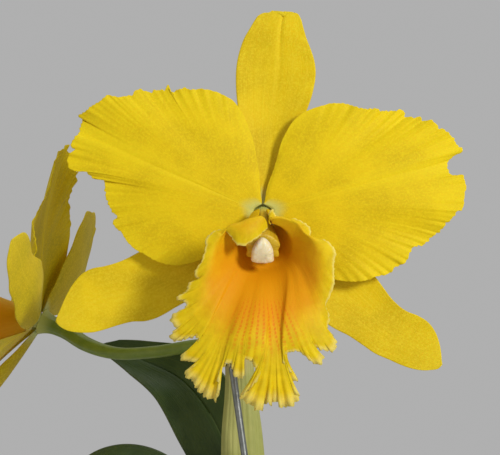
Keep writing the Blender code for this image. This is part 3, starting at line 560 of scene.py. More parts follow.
def solid_sheet(grid, thickness, closed=False):
    """A closed thin solid from a grid of points: the grid moved half its thickness along its own normals to
    the front, and half to the back, with the two joined round the rim. A closed grid's last column meets its
    first. Returns points and faces, the front side's points first."""
    rows, columns, _ = grid.shape
    over = np.roll(grid, -1, 1) - np.roll(grid, 1, 1) if closed else np.gradient(grid, axis=1)
    normal = unit(np.cross(over, np.gradient(grid, axis=0)))
    offset = 0.5 * np.broadcast_to(thickness, (rows, columns))[..., None] * normal
    count = rows * columns
    front = grid_faces(rows, columns, closed)
    number = np.arange(count).reshape(rows, columns)
    if closed:
        rims = [number[0], number[-1, ::-1]]
    else:
        rims = [np.concatenate([number[0, :-1], number[:-1, -1], number[-1, :0:-1], number[:0:-1, 0]])]
    ahead = [np.roll(rim, -1) for rim in rims]
    edges = [np.stack([after, rim, rim + count, after + count], axis=-1) for rim, after in zip(rims, ahead)]
    return np.stack([grid + offset, grid - offset]), np.concatenate([front, front[:, ::-1] + count, *edges])


def sheet_grain(rows, columns, share=None):
    """The grain of a thin solid: across its veins, foot to margin, and 1 on the front and 0 on the back."""
    foot_to_margin = np.linspace(0, 1, rows) if share is None else share
    share_at, across_at = np.meshgrid(foot_to_margin, np.linspace(0, 1, columns), indexing="ij")
    return np.stack([np.stack([across_at, share_at, np.full_like(share_at, front)], axis=-1)
                     for front in (1, 0)])


for number, which in enumerate(growths):
    share = np.linspace(0, 1, 150)
    bend = np.array(bulb_bends[which]) * MM + feet[which]
    bend[-1] = tops[which]
    path = along(bend, share)
    stout = bulb_stoutness[which]
    widths = through(bulb_shares, bulb_half_widths, share)[:, 0] * stout
    depths = through(bulb_shares, bulb_half_depths, share)[:, 0] * stout
    turn = full_turn(96)
    strength = 0.035 * np.sin(math.pi * share)[:, None]
    ripple = 0.985 + strength * np.sin(9 * turn + number) * np.sin(5 * turn + 2 * share[:, None])
    joint = 1 - 0.05 * bell(share[:, None] % 0.34, 0.17, 0.008)
    points, faces, grain = tube(path, widths, depths, (1, 0, 0), 96, ripple * joint)
    grain[:, 2] = bulb_age[which]
    piece(f"bulb_{which}", points, faces, bulb_coat.material, "bulb", [f"pseudobulb_{which}"],
          grain=grain)

    for layer, (low, high, turn_from) in enumerate(bract_layers):
        columns, rows = 120, 34
        angle = turn_from + number + np.linspace(0, 5.4, columns)
        fray = 0.05 * np.sin(angle * 7 + number) + 0.03 * np.sin(angle * 17) + 0.05 * np.cos(angle)
        level = low + (high - low + fray) * np.linspace(0, 1, rows)[:, None]
        axis = along(bend, level.ravel()).reshape(rows, columns, 3)
        half_w = through(bulb_shares, bulb_half_widths, level.ravel())[:, 0].reshape(rows, columns) * stout
        half_d = through(bulb_shares, bulb_half_depths, level.ravel())[:, 0].reshape(rows, columns) * stout
        lift = (0.35 + 0.35 * layer) * MM + 0.0012 * np.linspace(0, 1, rows)[:, None] ** 5 * (
            1 + 0.8 * np.sin(angle * 3))
        crinkle = 0.00012 * np.sin(angle * 31 + 4 * level * 10)
        grid = axis + np.stack([(half_w * 1.02 + lift + crinkle) * np.cos(angle),
                                (half_d * 1.02 + lift + crinkle) * np.sin(angle), 0 * level], axis=-1)
        points, faces = solid_sheet(grid, bract_thickness)
        piece(f"bract_{which}_{layer}", points, faces, wrap.material, "sheath",
              grain=sheet_grain(rows, columns))

# ------------------------------------------------------------------ leaves
# One thick leathery leaf tops each growth. It is folded to a trough over its midrib, which stands out below
# as a keel, and its upper face is waxy and darker than its underside.

leaf_spines = {  # mm from the growth's top, half widths in mm, and the ways that its foot and blade face
    "1": ([(-1, 7.0, 1.0), (-3, 15.5, 32), (-6.5, 23, 64), (-13, 31, 78), (-25, 42, 92), (-43, 53, 100),
           (-60, 59, 106)],
          [5.6, 7.5, 11.5, 14.5, 15.5, 13.5, 8.5, 2], [(0, -1, 0.2), (-0.55, -0.6, 0.5)]),
    "2": ([(0, 0, 0.9), (-5, 2, 30), (-10, 7, 58), (-19, 14, 77), (-37, 23, 83), (-58, 32, 64)],
          [4, 8, 13, 16, 17, 15, 10, 2], [(-0.6, -0.4, 0.4), (-0.35, -0.3, 0.9)]),
    "3": ([(0, 0, 0.9), (2, 3, 28), (9, 11, 54), (24, 23, 70), (47, 36, 70), (70, 46, 50)],
          [4, 8, 14, 18, 19, 16, 11, 2], [(0.6, -0.5, 0.5), (0.3, 0.1, 0.95)]),
    "4": ([(0, 0, 0.9), (4, -2, 26), (15, -9, 52), (32, -21, 66), (54, -37, 62), (72, -50, 42)],
          [4, 9, 14, 18, 19, 16, 10, 2], [(0.6, -0.6, 0.5), (0.35, -0.3, 0.9)]),
}


def leaf_blade(spine, half_widths, face, rows, columns):
    """A trough along a spine: each point is the spine plus a half width across it times the share across,
    lifted off the midrib by the share's power 1.5, less a narrow groove over the midrib. The tip's corners
    are drawn back by the square of the share across."""
    share = np.linspace(0, 1, rows)[:, None] * np.ones(columns)
    across = np.linspace(-1, 1, columns)[None, :] * np.ones((rows, 1))
    share = share - 0.05 * across ** 2 * share ** 6
    middle = along(spine, share)
    forward = unit(along(spine, share + 0.01) - along(spine, share - 0.01))
    looks = through([0, 0.4, 1], [face[0], face[1], face[1]], share)
    rib = unit(np.cross(forward, looks))
    lift = unit(np.cross(rib, forward))
    half = through(np.linspace(0, 1, len(half_widths)), half_widths, share)
    trough = through([0, 1], [0.45, 0.28], share) * half * np.abs(across[..., None]) ** 1.5
    groove = 0.0006 * bell(across[..., None], 0, 0.05)
    wave = 0.0005 * (np.sin(23 * share + 5 * across) * np.abs(across))[..., None]
    return middle + rib * across[..., None] * half + lift * (trough - groove + wave)


leaf_coat = Coat("leaf_skin", Specular_IOR_Level=0.30)
across_at, share_at, front_at = leaf_coat.grain()
off_midrib = (across_at - 0.5).math("ABSOLUTE")
veins = leaf_coat.streaks(across_at * 70, share_at * 3, 0, 2)
mottle = leaf_coat.mottle(75, 4, 0.6)
cells = leaf_coat.mottle(2600, 2)
colour = leaf_coat.layered((0.030, 0.060, 0.011), (mottle.step(0.35, 0.65), (0.048, 0.082, 0.016)),
                           (veins.step(0.45, 0.7) * 0.35, (0.062, 0.098, 0.022)),
                           (off_midrib.step(0.030, 0.008) * 0.8, (0.115, 0.165, 0.050)),
                           (off_midrib.step(0.485, 0.5) * 0.5, (0.12, 0.13, 0.04)),
                           (front_at.step(0.5, 0.4) * 0.55, (0.10, 0.15, 0.05)))
leaf_coat.finish(colour, roughness=0.34 + 0.2 * mottle, bump=veins * 0.6 + cells * 0.4, depth=0.0003)

for which, (spine, half_widths, face) in leaf_spines.items():
    rows, columns = 150, 48
    blade = leaf_blade(np.array(spine) * MM + tops[which], np.array(half_widths) * MM, face, rows, columns)
    across = np.abs(np.linspace(-1, 1, columns))
    thickness = (0.0022 - 0.0015 * across ** 2) * np.linspace(1.1, 0.75, rows)[:, None]
    points, faces = solid_sheet(blade, thickness)
    keel = 0.0011 * bell(across, 0, 0.07)[:, None] * unit(points[1] - points[0])
    points[1] += keel * np.linspace(1, 0.2, rows)[:, None, None]
    piece(f"leaf_blade_{which}", points, faces, leaf_coat.material, "leaf", [f"leaf_{which}"],
          grain=sheet_grain(rows, columns))

# ------------------------------------------------------------------ sheath and flower stems
# The flower stem rises out of a flat two-keeled sheath, which dries to a pale straw green. It carries a stalk
# for each flower, swollen behind the flower into a six-grooved ovary.

peduncle_foot, peduncle_top = cad_end("peduncle", sign=-1), cad_end("peduncle")
sheath_length, sheath_thickness = 0.104, 0.0006
rows, columns = 110, 144
share = np.linspace(0.01, 1, rows)
height = share * sheath_length / (peduncle_top[2] - peduncle_foot[2])
sheath_axis = peduncle_foot + height[:, None] * (peduncle_top - peduncle_foot)
turn = full_turn(columns)
half_width = through([0, 0.15, 0.35, 0.7, 0.88, 1], np.array([3.5, 4.2, 6.9, 7.0, 5.0, 3.9]) * MM, share)
half_depth = through([0, 0.15, 0.35, 0.7, 0.88, 1], np.array([3.5, 3.8, 4.0, 3.9, 3.7, 3.6]) * MM, share)
keel = 1 + 0.10 * bell(turn[None], math.pi, 0.14) + 0.10 * bell(
    np.minimum(turn, 2 * math.pi - turn)[None], 0, 0.14)
pleat = 0.00010 * np.sin(turn * 21) + 0.00035 * np.sin(turn * 3 + 5 * share[:, None])
sheath = sheath_axis[:, None] + np.stack([half_width * keel * np.cos(turn) + pleat * np.cos(turn),
                                          half_depth * np.sin(turn) + pleat * np.sin(turn),
                                          np.zeros((rows, columns))], axis=-1)
mouth = 0.004 * np.cos(turn) - 0.0035 * bell(turn, 4.9, 0.35) + 0.0006 * np.sin(11 * turn)
sheath[..., 2] += mouth * share[:, None] ** 4
flare = 0.0009 * share[:, None] ** 12
sheath[..., 0] += flare * np.cos(turn)
sheath[..., 1] += flare * np.sin(turn)

sheath_coat = Coat("sheath_skin", Specular_IOR_Level=0.35)
turn_at, share_at, front_at = sheath_coat.grain()
veins = sheath_coat.streaks(turn_at * 130, share_at * 4, 0, 2)
blotch = sheath_coat.mottle(95, 4, 0.6)
colour = sheath_coat.layered((0.33, 0.345, 0.085), (blotch.step(0.35, 0.7), (0.42, 0.41, 0.125)),
                             (veins.step(0.45, 0.75) * 0.22, (0.24, 0.26, 0.05)),
                             (share_at.step(0.90, 1.0) * 0.7, (0.42, 0.33, 0.15)),
                             (front_at.step(0.5, 0.4) * 0.3, (0.24, 0.24, 0.06)))
sheath_coat.finish(colour, roughness=0.5 + 0.2 * blotch, bump=veins, depth=0.00018)
points, faces = solid_sheet(sheath, sheath_thickness, closed=True)
piece("flower_sheath_skin", points, faces, sheath_coat.material, "sheath", ["flower_sheath"],
      grain=sheet_grain(rows, columns))

stem_coat = Coat("stem_skin", Specular_IOR_Level=0.45, Coat_Weight=0.10, Coat_Roughness=0.3)
turn_at, share_at, _ = stem_coat.grain()
mottle = stem_coat.mottle(210, 4, 0.6)
streaks = stem_coat.streaks(turn_at * 22, share_at * 3, 0, 2)
colour = stem_coat.layered((0.135, 0.20, 0.010), (mottle.step(0.3, 0.7), (0.185, 0.25, 0.018)),
                           (streaks.step(0.5, 0.75) * 0.4, (0.135, 0.17, 0.026)),
                           (share_at.step(0.93, 1.0) * 0.75, (0.50, 0.50, 0.10)))
stem_coat.finish(colour, roughness=0.36 + 0.2 * mottle, bump=streaks + mottle, depth=0.0002)

stem_share = np.linspace(0, 1, 120)
bow = [peduncle_foot, (peduncle_foot + peduncle_top) / 2 + (0.0006, -0.0006, 0), peduncle_top]
peduncle = along(bow, stem_share)
nodes = 1 + 0.14 * bell(stem_share, 0.985, 0.02) + 0.05 * bell(stem_share, 0.5, 0.01)
points, faces, grain = tube(peduncle, 0.0022 * nodes, 0.0022 * nodes, (1, 0, 0), 28)
piece("flower_stem", points, faces, stem_coat.material, "stem", ["peduncle"], grain=grain)

# ------------------------------------------------------------------ flower frames
# Each flower is set out on its own axes, in millimetres from its middle: x to the right as it faces the
# viewer, y back into the flower and z up. The front flower faces straight out, and the side one is rolled
# and turned away.

side_angles = [math.radians(angle) for angle in (-17, -64, -101)]
flower_turn = {"front": np.eye(3), "side": np.array(Euler(side_angles, "YXZ").to_matrix())}
flower_size = {"front": 1.0, "side": 0.97}
column_middle = np.array([-0.036, -10.170, -5.305])  # the mean of a column's points, on its flower's axes
flower_at = {name: cad_points(f"{name}_column").mean(0) - MM * flower_size[name] * turn @ column_middle
             for name, turn in flower_turn.items()}


def to_flower(points, name):
    """Points in millimetres on a flower's axes, as metres in the whole plant's frame."""
    return flower_at[name] + (np.asarray(points, float) * MM * flower_size[name]) @ flower_turn[name].T


stalk_paths = {
    "front": [peduncle_top + (0.0004, -0.0002, 0.0008), peduncle_top + (0.0029, 0.0048, 0.0188),
              *to_flower([(0, 28.2, -7), (0, 15.2, -0.6), (0, 3.3, 0)], "front")],
    "side": [peduncle_top + (-0.0035, 0.001, -0.001),
             *(flower_at["front"] * (0, 0, 1) + np.array([(-20.9, 24, -51.8), (-37, 30, -54.6),
                                                        (-53.3, 38, -55.4)]) * MM),
             *to_flower([(0, 4.2 + 20 / flower_size["side"], -6), (0, 13.2, -1), (0, 3.3, 0)], "side")],
}
stalk_radii = {"front": [2.5, 2.5, 3.1, 3.1, 3.8], "side": [2.5, 2.5, 2.5, 3.1, 3.8]}
for name, path in stalk_paths.items():
    share = np.linspace(0, 1, 200)
    radius = even(np.array(stalk_radii[name]) * MM, share)
    turn = full_turn(48)
    ovary = np.clip((share - 0.45) / 0.2, 0, 1) * np.clip((1 - share) / 0.06, 0, 1)
    grooves = 1 - 0.09 * ovary[:, None] * np.abs(np.cos(3 * turn + 2.2 * share[:, None])) ** 4
    collar = 1 + 0.12 * bell(share, 0.03, 0.02) + 0.48 * np.clip((share - 0.93) / 0.07, 0, 1) ** 2
    points, faces, grain = tube(along(path, share), radius * 0.98 * collar, radius * 0.98 * collar,
                                (0.2, 0.3, 0.93), 48, grooves)
    piece(f"{name}_flower_stalk", points, faces, stem_coat.material, "stem", [f"pedicel_{name}"], grain=grain)

# ------------------------------------------------------------------ sepals
# Three sepals stand behind the petals: smooth, firm blades with fine lengthwise veins, greenish at the foot
# and paler at the tip. The upper one is grooved down its middle and notched at its end.

sepal_edges = {  # each edge from the foot to the tip, in mm, as (x, z), and how far back the blade lies
    "dorsal_sepal": (
        [(-2.5, 3.6), (-3.8, 14), (-6.6, 27), (-9.4, 40), (-10.3, 50), (-10.1, 56), (-9.0, 62),
         (-7.0, 67.5), (-4.9, 71), (-3.1, 74), (-2.0, 75.6), (0, 76.8), (2.6, 77.1), (3.5, 77.7),
         (5.2, 76.9), (7.0, 76.1), (7.7, 75.6)],
        [(2.5, 3.6), (6.2, 14), (11.4, 27), (16.6, 39.2), (19.2, 47), (20.2, 54.2), (19.7, 58.5),
         (18.5, 62.5), (16.6, 67.5), (15.4, 71.5), (14.4, 74.8), (13.2, 76.6), (11, 76.9), (9.2, 76.3),
         (7.7, 75.6)],
        [2.4, 3.6, 5.6, 7.0, 6.6, 5.4, 4.6]),
    "left_sepal": (
        [(-3.0, -4.6), (-9, -13), (-18, -24), (-25, -31), (-30.8, -34.2), (-33.7, -35.8), (-37.3, -38),
         (-41, -39.8), (-44.6, -40.8), (-50, -41.1), (-54.8, -42.3), (-60.6, -44.1), (-64.2, -45),
         (-70, -45.2), (-75.4, -44.1), (-78.2, -42.1), (-78.9, -41)],
        [(-3.4, -1.2), (-14, -4.5), (-28, -8.5), (-40, -12), (-47.9, -14.8), (-51.1, -16.5), (-55.5, -18.4),
         (-60.6, -19.9), (-65.3, -20.8), (-68.9, -22.7), (-72.2, -26.3), (-75.1, -31.3), (-77.4, -36.6),
         (-78.7, -39.8), (-78.9, -41)],
        [2.4, 5, 7, 7, 6, 5, 4]),
    "right_sepal": (
        [(4.2, -1.8), (14, -7), (26, -13), (37, -18.5), (43.4, -24.4), (46.2, -28.2), (49.5, -32.6),
         (54.5, -36.8), (60.1, -39.2), (62.9, -41.1), (66.2, -45.6), (67.5, -49.4), (68.2, -53.8),
         (68.4, -57.4)],
        [(2.4, -4.8), (5, -14), (12, -28), (19, -37), (25, -42.2), (27.2, -43.6), (32.8, -46.5),
         (38.4, -50.2), (42.8, -53.2), (48.4, -55.7), (52.9, -57.7), (57.3, -59.1), (64, -59.6),
         (67.3, -58.8), (68.4, -57.4)],
        [2.4, 5, 7, 7.6, 6.8, 6, 5]),
}


def blade_between(first, second, rows, columns):
    """A flat blade ruled between two edges that start at its foot and meet at its tip: each row joins the
    points of the edges at one share of their lengths. Returns x and z as a grid, in the edges' units."""
    share = np.linspace(0, 1, rows)
    one, other = along(first, share)[:, None], along(second, share)[:, None]
    across = np.linspace(0, 1, columns)[None, :, None]
    return one + (other - one) * across


def swept(blade, share):
    """A blade in mm swept forward by that share of its distance from the flower's middle, past 5 mm."""
    blade[..., 1] -= share * np.maximum(np.hypot(blade[..., 0], blade[..., 2]) - 5, 0)
    return blade


def crinkles(length, seed, waves):
    """A lasting irregular ripple along a margin: sines of the given wavelengths in mm and strengths, each
    with its phase wandering slowly, from a seeded draw."""
    draw = np.random.default_rng(seed)
    total = np.zeros_like(length)
    for wavelength, strength in waves:
        a, b, c = draw.uniform(0, 2 * math.pi, 3)
        wander = 1.3 * np.sin(length / (wavelength * 3.1) + a) + 0.9 * np.sin(length / (wavelength * 5.3) + b)
        swell = 0.65 + 0.35 * np.sin(length / (wavelength * 4.1) + c)
        total += strength * swell * np.sin(2 * math.pi * length / wavelength + wander + c)
    return total


def tepal_coat(name, deep, bright, pale, foot, lines, rib):
    """The skin of a petal or sepal: fine veins that run from foot to margin, a paler midrib and rim, and a
    crystalline sparkle of small cells. lines is how many veins cross the blade, and rib how pale its
    midrib is."""
    coat = Coat(name, Specular_IOR_Level=0.16, Subsurface_Weight=0.12, Subsurface_Scale=0.002,
                Subsurface_Radius=(1.0, 0.6, 0.1))
    across_at, share_at, front_at = coat.grain()
    veins = coat.streaks(across_at * lines, share_at * 2.5, 0, 3, 0.6)
    cells = coat.mottle(1250, 3, 0.75)
    patch = coat.mottle(70, 3)
    off_midrib = (across_at - 0.5).math("ABSOLUTE")
    colour = coat.layered(deep, (patch.step(0.3, 0.7), bright), (veins.step(0.42, 0.72) * 0.18, pale),
                          (cells.step(0.40, 0.70) * 0.55, pale), (off_midrib.step(0.060, 0.0) * rib, pale),
                          (share_at.step(0.80, 1.0) * 0.3, pale), (share_at.step(0.10, 0.0), foot))
    coat.finish(colour, roughness=0.56 + 0.16 * cells, bump=veins * 0.6 + cells * 0.5, depth=0.00016)
    return coat.material


# Each flower's deep and bright colours. The side flower's are darker than the front one's: painted shade for
# its place out of the key light, with a slightly greener tint of its own.
flower_tints_and_painted_shade = {"front": ((0.60, 0.415, 0.001), (0.74, 0.52, 0.002)),
              "side": ((0.48, 0.36, 0.003), (0.58, 0.42, 0.005))}
forward_sweep = {"side": {"right_sepal": 0.02, "left_sepal": 0.5, "left_petal": 0.55, "right_petal": 0.08,
                          "dorsal_sepal": 0.08}, "front": {}}

# The side flower's own differences: how many times as long a blade is along x and z, and mm back at its end.
part_stretch = {("side", "dorsal_sepal"): (1.45, 0.86), ("side", "right_petal"): (0.98, 0.74)}
recurved = {("side", "right_petal"): 2.5}

for name, (deep, bright) in flower_tints_and_painted_shade.items():
    sepal_coat = tepal_coat(f"{name}_sepal_skin", deep, bright, (0.82, 0.64, 0.026), (0.55, 0.60, 0.25), 34,
                            0.12)
    for part, (first, second, depths) in sepal_edges.items():
        rows, columns = 150, 44
        flat = blade_between(first, second, rows, columns) * part_stretch.get((name, part), 1)
        share = np.linspace(0, 1, rows)[:, None]
        across = np.linspace(-1, 1, columns)[None, :]
        back = even(depths, share) + 0 * across
        half = 0.5 * np.linalg.norm(flat[:, -1] - flat[:, 0], axis=-1)[:, None]
        back = back - 0.13 * half * np.abs(across) ** 2.2 * (1 - 0.5 * share)
        grooved = 1.0 if part == "dorsal_sepal" else 0.12
        back = back + 0.55 * bell(across, 0.08, 0.07) * np.clip((share - 0.45) / 0.4, 0, 1) * grooved
        back = back + 0.5 * np.sin(5.1 * share + 2.3 * across) * share * (1 - share) * 3
        edge = np.abs(across) ** 6
        back = back + 0.25 * edge * np.sin(31 * share + 2 * across)
        blade = np.stack([flat[..., 0], back, flat[..., 1]], axis=-1)
        blade = swept(blade, forward_sweep[name].get(part, 0))
        thickness = (1.0 - 0.6 * np.abs(across) ** 4) * (1.15 - 0.55 * share)
        points, faces = solid_sheet(to_flower(blade, name), thickness * MM)
        piece(f"{name}_{part}_blade", points, faces, sepal_coat, "petal", [f"{name}_{part}"],
              grain=sheet_grain(rows, columns))

# ------------------------------------------------------------------ petals
# The two petals are the widest parts: broad, thin blades on a narrow claw, whose veins fan out to a crimped
# and finely toothed margin.

petal_claw = [(0.6, 0.3, 3.8), (3.1, 0.3, 2.3), (4.1, 0.3, -1.4)]
petal_margins = {  # (x, z) in mm, from the top of the claw round the blade to the underside of the claw
    "left_petal": [
        (-1, 9.6), (-1.3, 14.1), (-2.3, 20.3), (-3.9, 28.4), (-5.9, 34), (-8.9, 40.1), (-11.5, 43.2),
        (-14, 44.7), (-17.1, 46.2), (-21.2, 47.3), (-24.2, 47.6), (-27, 47.2), (-29.3, 47.9), (-31.3, 47.7),
        (-33.4, 46.7), (-35, 46.4), (-36.2, 49), (-37.3, 47.3), (-39, 47.2), (-41.5, 47), (-42, 46.5),
        (-44.6, 46.7), (-47.1, 47.5), (-48.9, 46.5), (-49.4, 45.4), (-51.7, 44.9), (-54.7, 44.4),
        (-57.3, 44.9), (-59.1, 45.2), (-60.9, 43.7), (-62.4, 42.6), (-65.4, 40.9), (-67.5, 39.1),
        (-70.3, 37.3), (-68.7, 36.3), (-69.5, 33.5), (-70, 30.9), (-72.1, 28.4), (-72.8, 25.3),
        (-71.5, 24.9), (-74.1, 22.3), (-74.3, 19.7), (-73.3, 17.2), (-71.5, 16.4), (-67.2, 16.9),
        (-66.2, 15.2), (-63.9, 13.4), (-60.6, 13.5), (-60.1, 9.6), (-59.6, 6), (-58.6, 3.5), (-56.8, 0.4),
        (-55.3, -1.1), (-57, -2.7), (-56, -5.2), (-54.2, -6.5), (-51.7, -10.3), (-47.9, -13.8),
        (-45.6, -14.9), (-41.5, -17.4), (-37.4, -18.9), (-32.4, -19.4), (-28.3, -18.7), (-24.2, -17.4),
        (-20.1, -14.9), (-16.1, -11.3), (-12, -7.6), (-8.4, -4.6)],
    "right_petal": [
        (1.2, 8.4), (2.4, 12.4), (4.2, 17), (5.6, 21.8), (7.0, 27.1), (9.2, 31.7), (11.4, 35.2),
        (14.3, 37.8), (16.1, 38.9), (18.9, 40.1), (21.8, 41), (23.6, 41.5), (25.3, 42), (28.2, 42.1),
        (31, 42), (33.9, 41.2), (36.8, 40.3), (40.3, 39.9), (43.2, 40.1), (44.6, 39.3), (47.8, 39.3),
        (50.7, 39.3), (51.8, 39.7), (53.5, 39.5), (54.1, 38.4), (53.8, 37.2), (55.3, 36.9), (57.6, 36.6),
        (59.9, 36.8), (60.5, 36.3), (60.2, 35.2), (62.2, 35.5), (64.5, 35.4), (66.2, 33.5), (67.3, 32.3),
        (68.2, 32.4), (70, 31.2), (72.6, 28.6), (74, 26), (75.9, 24.8), (75.7, 23.7), (73.7, 22.8),
        (71.7, 21.4), (70.3, 19.6), (70.3, 17.3), (71.4, 15), (73.7, 14.7), (76.3, 14.7), (76.5, 13.3),
        (77.3, 10.4), (76.6, 7.5), (76.3, 4.6), (75.4, 1.5), (73.8, 1.2), (72.9, -0.2), (71.3, -2.2),
        (69.6, -3.5), (68.5, -5.2), (66.2, -7.4), (64.3, -8.6), (62.9, -10.2), (60.7, -11.9), (57.3, -12.5),
        (55.9, -14.7), (54.5, -18), (52.3, -19.4), (50.1, -20.3), (49, -21.9), (45.6, -23.3), (43.4, -23.6),
        (40, -25), (35.6, -25.6), (27.8, -24.9), (21.5, -22.5), (14, -16.5), (8.4, -9)],
}
petal_folds = {  # places on the margin where the blade folds: share of the margin, half width, mm back
    "left_petal": [(0.475, 0.022, 2.6), (0.510, 0.016, -1.4), (0.56, 0.014, 1.2)],
    "right_petal": [(0.50, 0.016, 1.3), (0.545, 0.020, -1.2), (0.78, 0.03, 1.4)],
}


def petal_blade(claw, margin, rows, columns, folds, seed):
    """A fan between a claw and a margin. Each vein is a quadratic curve that leaves the claw near the
    midrib's way and bends out to its own point of a calm margin, which is the real one averaged along its
    length. The seventh power of the way out draws it on to the real margin, and the fourteenth adds teeth.
    The blade is crowned to the front by a sine each way. Crinkles that run with the margin's length grow
    with the eighth power of the way out, broad waves with its power 3.5, and folds with the ninth."""
    share = np.linspace(0, 1, columns)
    start = along(claw, share)
    edge = along(margin, share)
    length = np.concatenate([[0], np.cumsum(np.linalg.norm(np.diff(edge, axis=0), axis=1))])
    outer = np.clip(np.minimum(length - 34, length[-1] - 22 - length) / 18, 0.06, 1)
    tooth = crinkles(length, seed, [(1.7, 0.22), (2.9, 0.24)]) * outer
    outward = unit(edge - edge.mean(0))
    window = np.exp(-0.5 * np.linspace(-3, 3, 73) ** 2)
    padded = np.pad(edge, ((36, 36), (0, 0)), mode="reflect", reflect_type="odd")
    calm = np.stack([np.convolve(line, window / window.sum(), "valid") for line in padded.T], axis=-1)
    end = np.stack([calm[:, 0], np.zeros(columns), calm[:, 1]], axis=-1)
    chord = end - start
    reach = np.linalg.norm(chord, axis=1, keepdims=True)
    midrib = unit(chord[columns // 2])
    lean = (1.5 * share * (1 - share))[:, None]
    bend = start + 0.5 * reach * unit(lean * midrib + (1 - lean) * chord / reach)
    t = (1 - (1 - np.linspace(0, 1, rows)) ** 1.3)[:, None, None]
    blade = (1 - t) ** 2 * start + 2 * t * (1 - t) * bend + t ** 2 * end
    t = t[..., 0]
    depth = -3.0 * np.sin(math.pi * t) * np.sin(math.pi * share)
    depth = depth + 0.22 * bell(share, 0.5, 0.010) * np.sin(math.pi * np.clip(t, 0, 1)) ** 0.5
    ripple = crinkles(length, seed + 1, [(4.4, 0.34), (7.3, 0.34), (2.6, 0.15)]) * outer
    broad = crinkles(length, seed + 2, [(25, 0.8), (41, 1.4)]) * outer
    depth = depth + ripple * t ** 8 + broad * t ** 3.5
    for place, width, back in folds:
        depth = depth + back * bell(share, place, width) * t ** 9
    blade[..., 1] += depth
    blade[..., 0::2] += t[..., None] ** 7 * (edge - calm) + t[..., None] ** 14 * tooth[:, None] * outward
    return blade, t[:, 0]


for name, (deep, bright) in flower_tints_and_painted_shade.items():
    petal_coat = tepal_coat(f"{name}_petal_skin", deep, bright, (0.84, 0.64, 0.008), (0.62, 0.60, 0.16), 120,
                            0.38)
    for number, (part, margin) in enumerate(petal_margins.items()):
        rows, columns = 66, 440
        mirror = -1 if part == "left_petal" else 1
        margin = np.array(margin) * part_stretch.get((name, part), 1)
        if (name, part) == ("side", "right_petal"):  # it has no notch near its end
            notched = (margin[:, 0] > 67) & (margin[:, 1] > 10) & (margin[:, 1] < 18)
            margin = margin[~notched]
        blade, share = petal_blade(np.array(petal_claw) * (mirror, 1, 1), margin, rows, columns,
                                   petal_folds[part], 3 + 7 * number)
        blade = swept(blade, forward_sweep[name].get(part, 0))
        blade[..., 1] += recurved.get((name, part), 0) * share[:, None] ** 4
        thickness = (1.3 * (1 - share) ** 2 + 0.38)[:, None] * np.ones(columns)
        if part == "left_petal":
            blade = blade[:, ::-1]
        points, faces = solid_sheet(to_flower(blade, name), thickness * MM)
        piece(f"{name}_{part}_blade", points, faces, petal_coat, "petal", [f"{name}_{part}"],
              grain=sheet_grain(rows, columns, share))

# ------------------------------------------------------------------ lip
# The lip is one petal rolled into a tube round the column. It flares to a crisped, deeply slashed skirt, deep
# orange in the throat with broken red lines, and yellow at its margin.

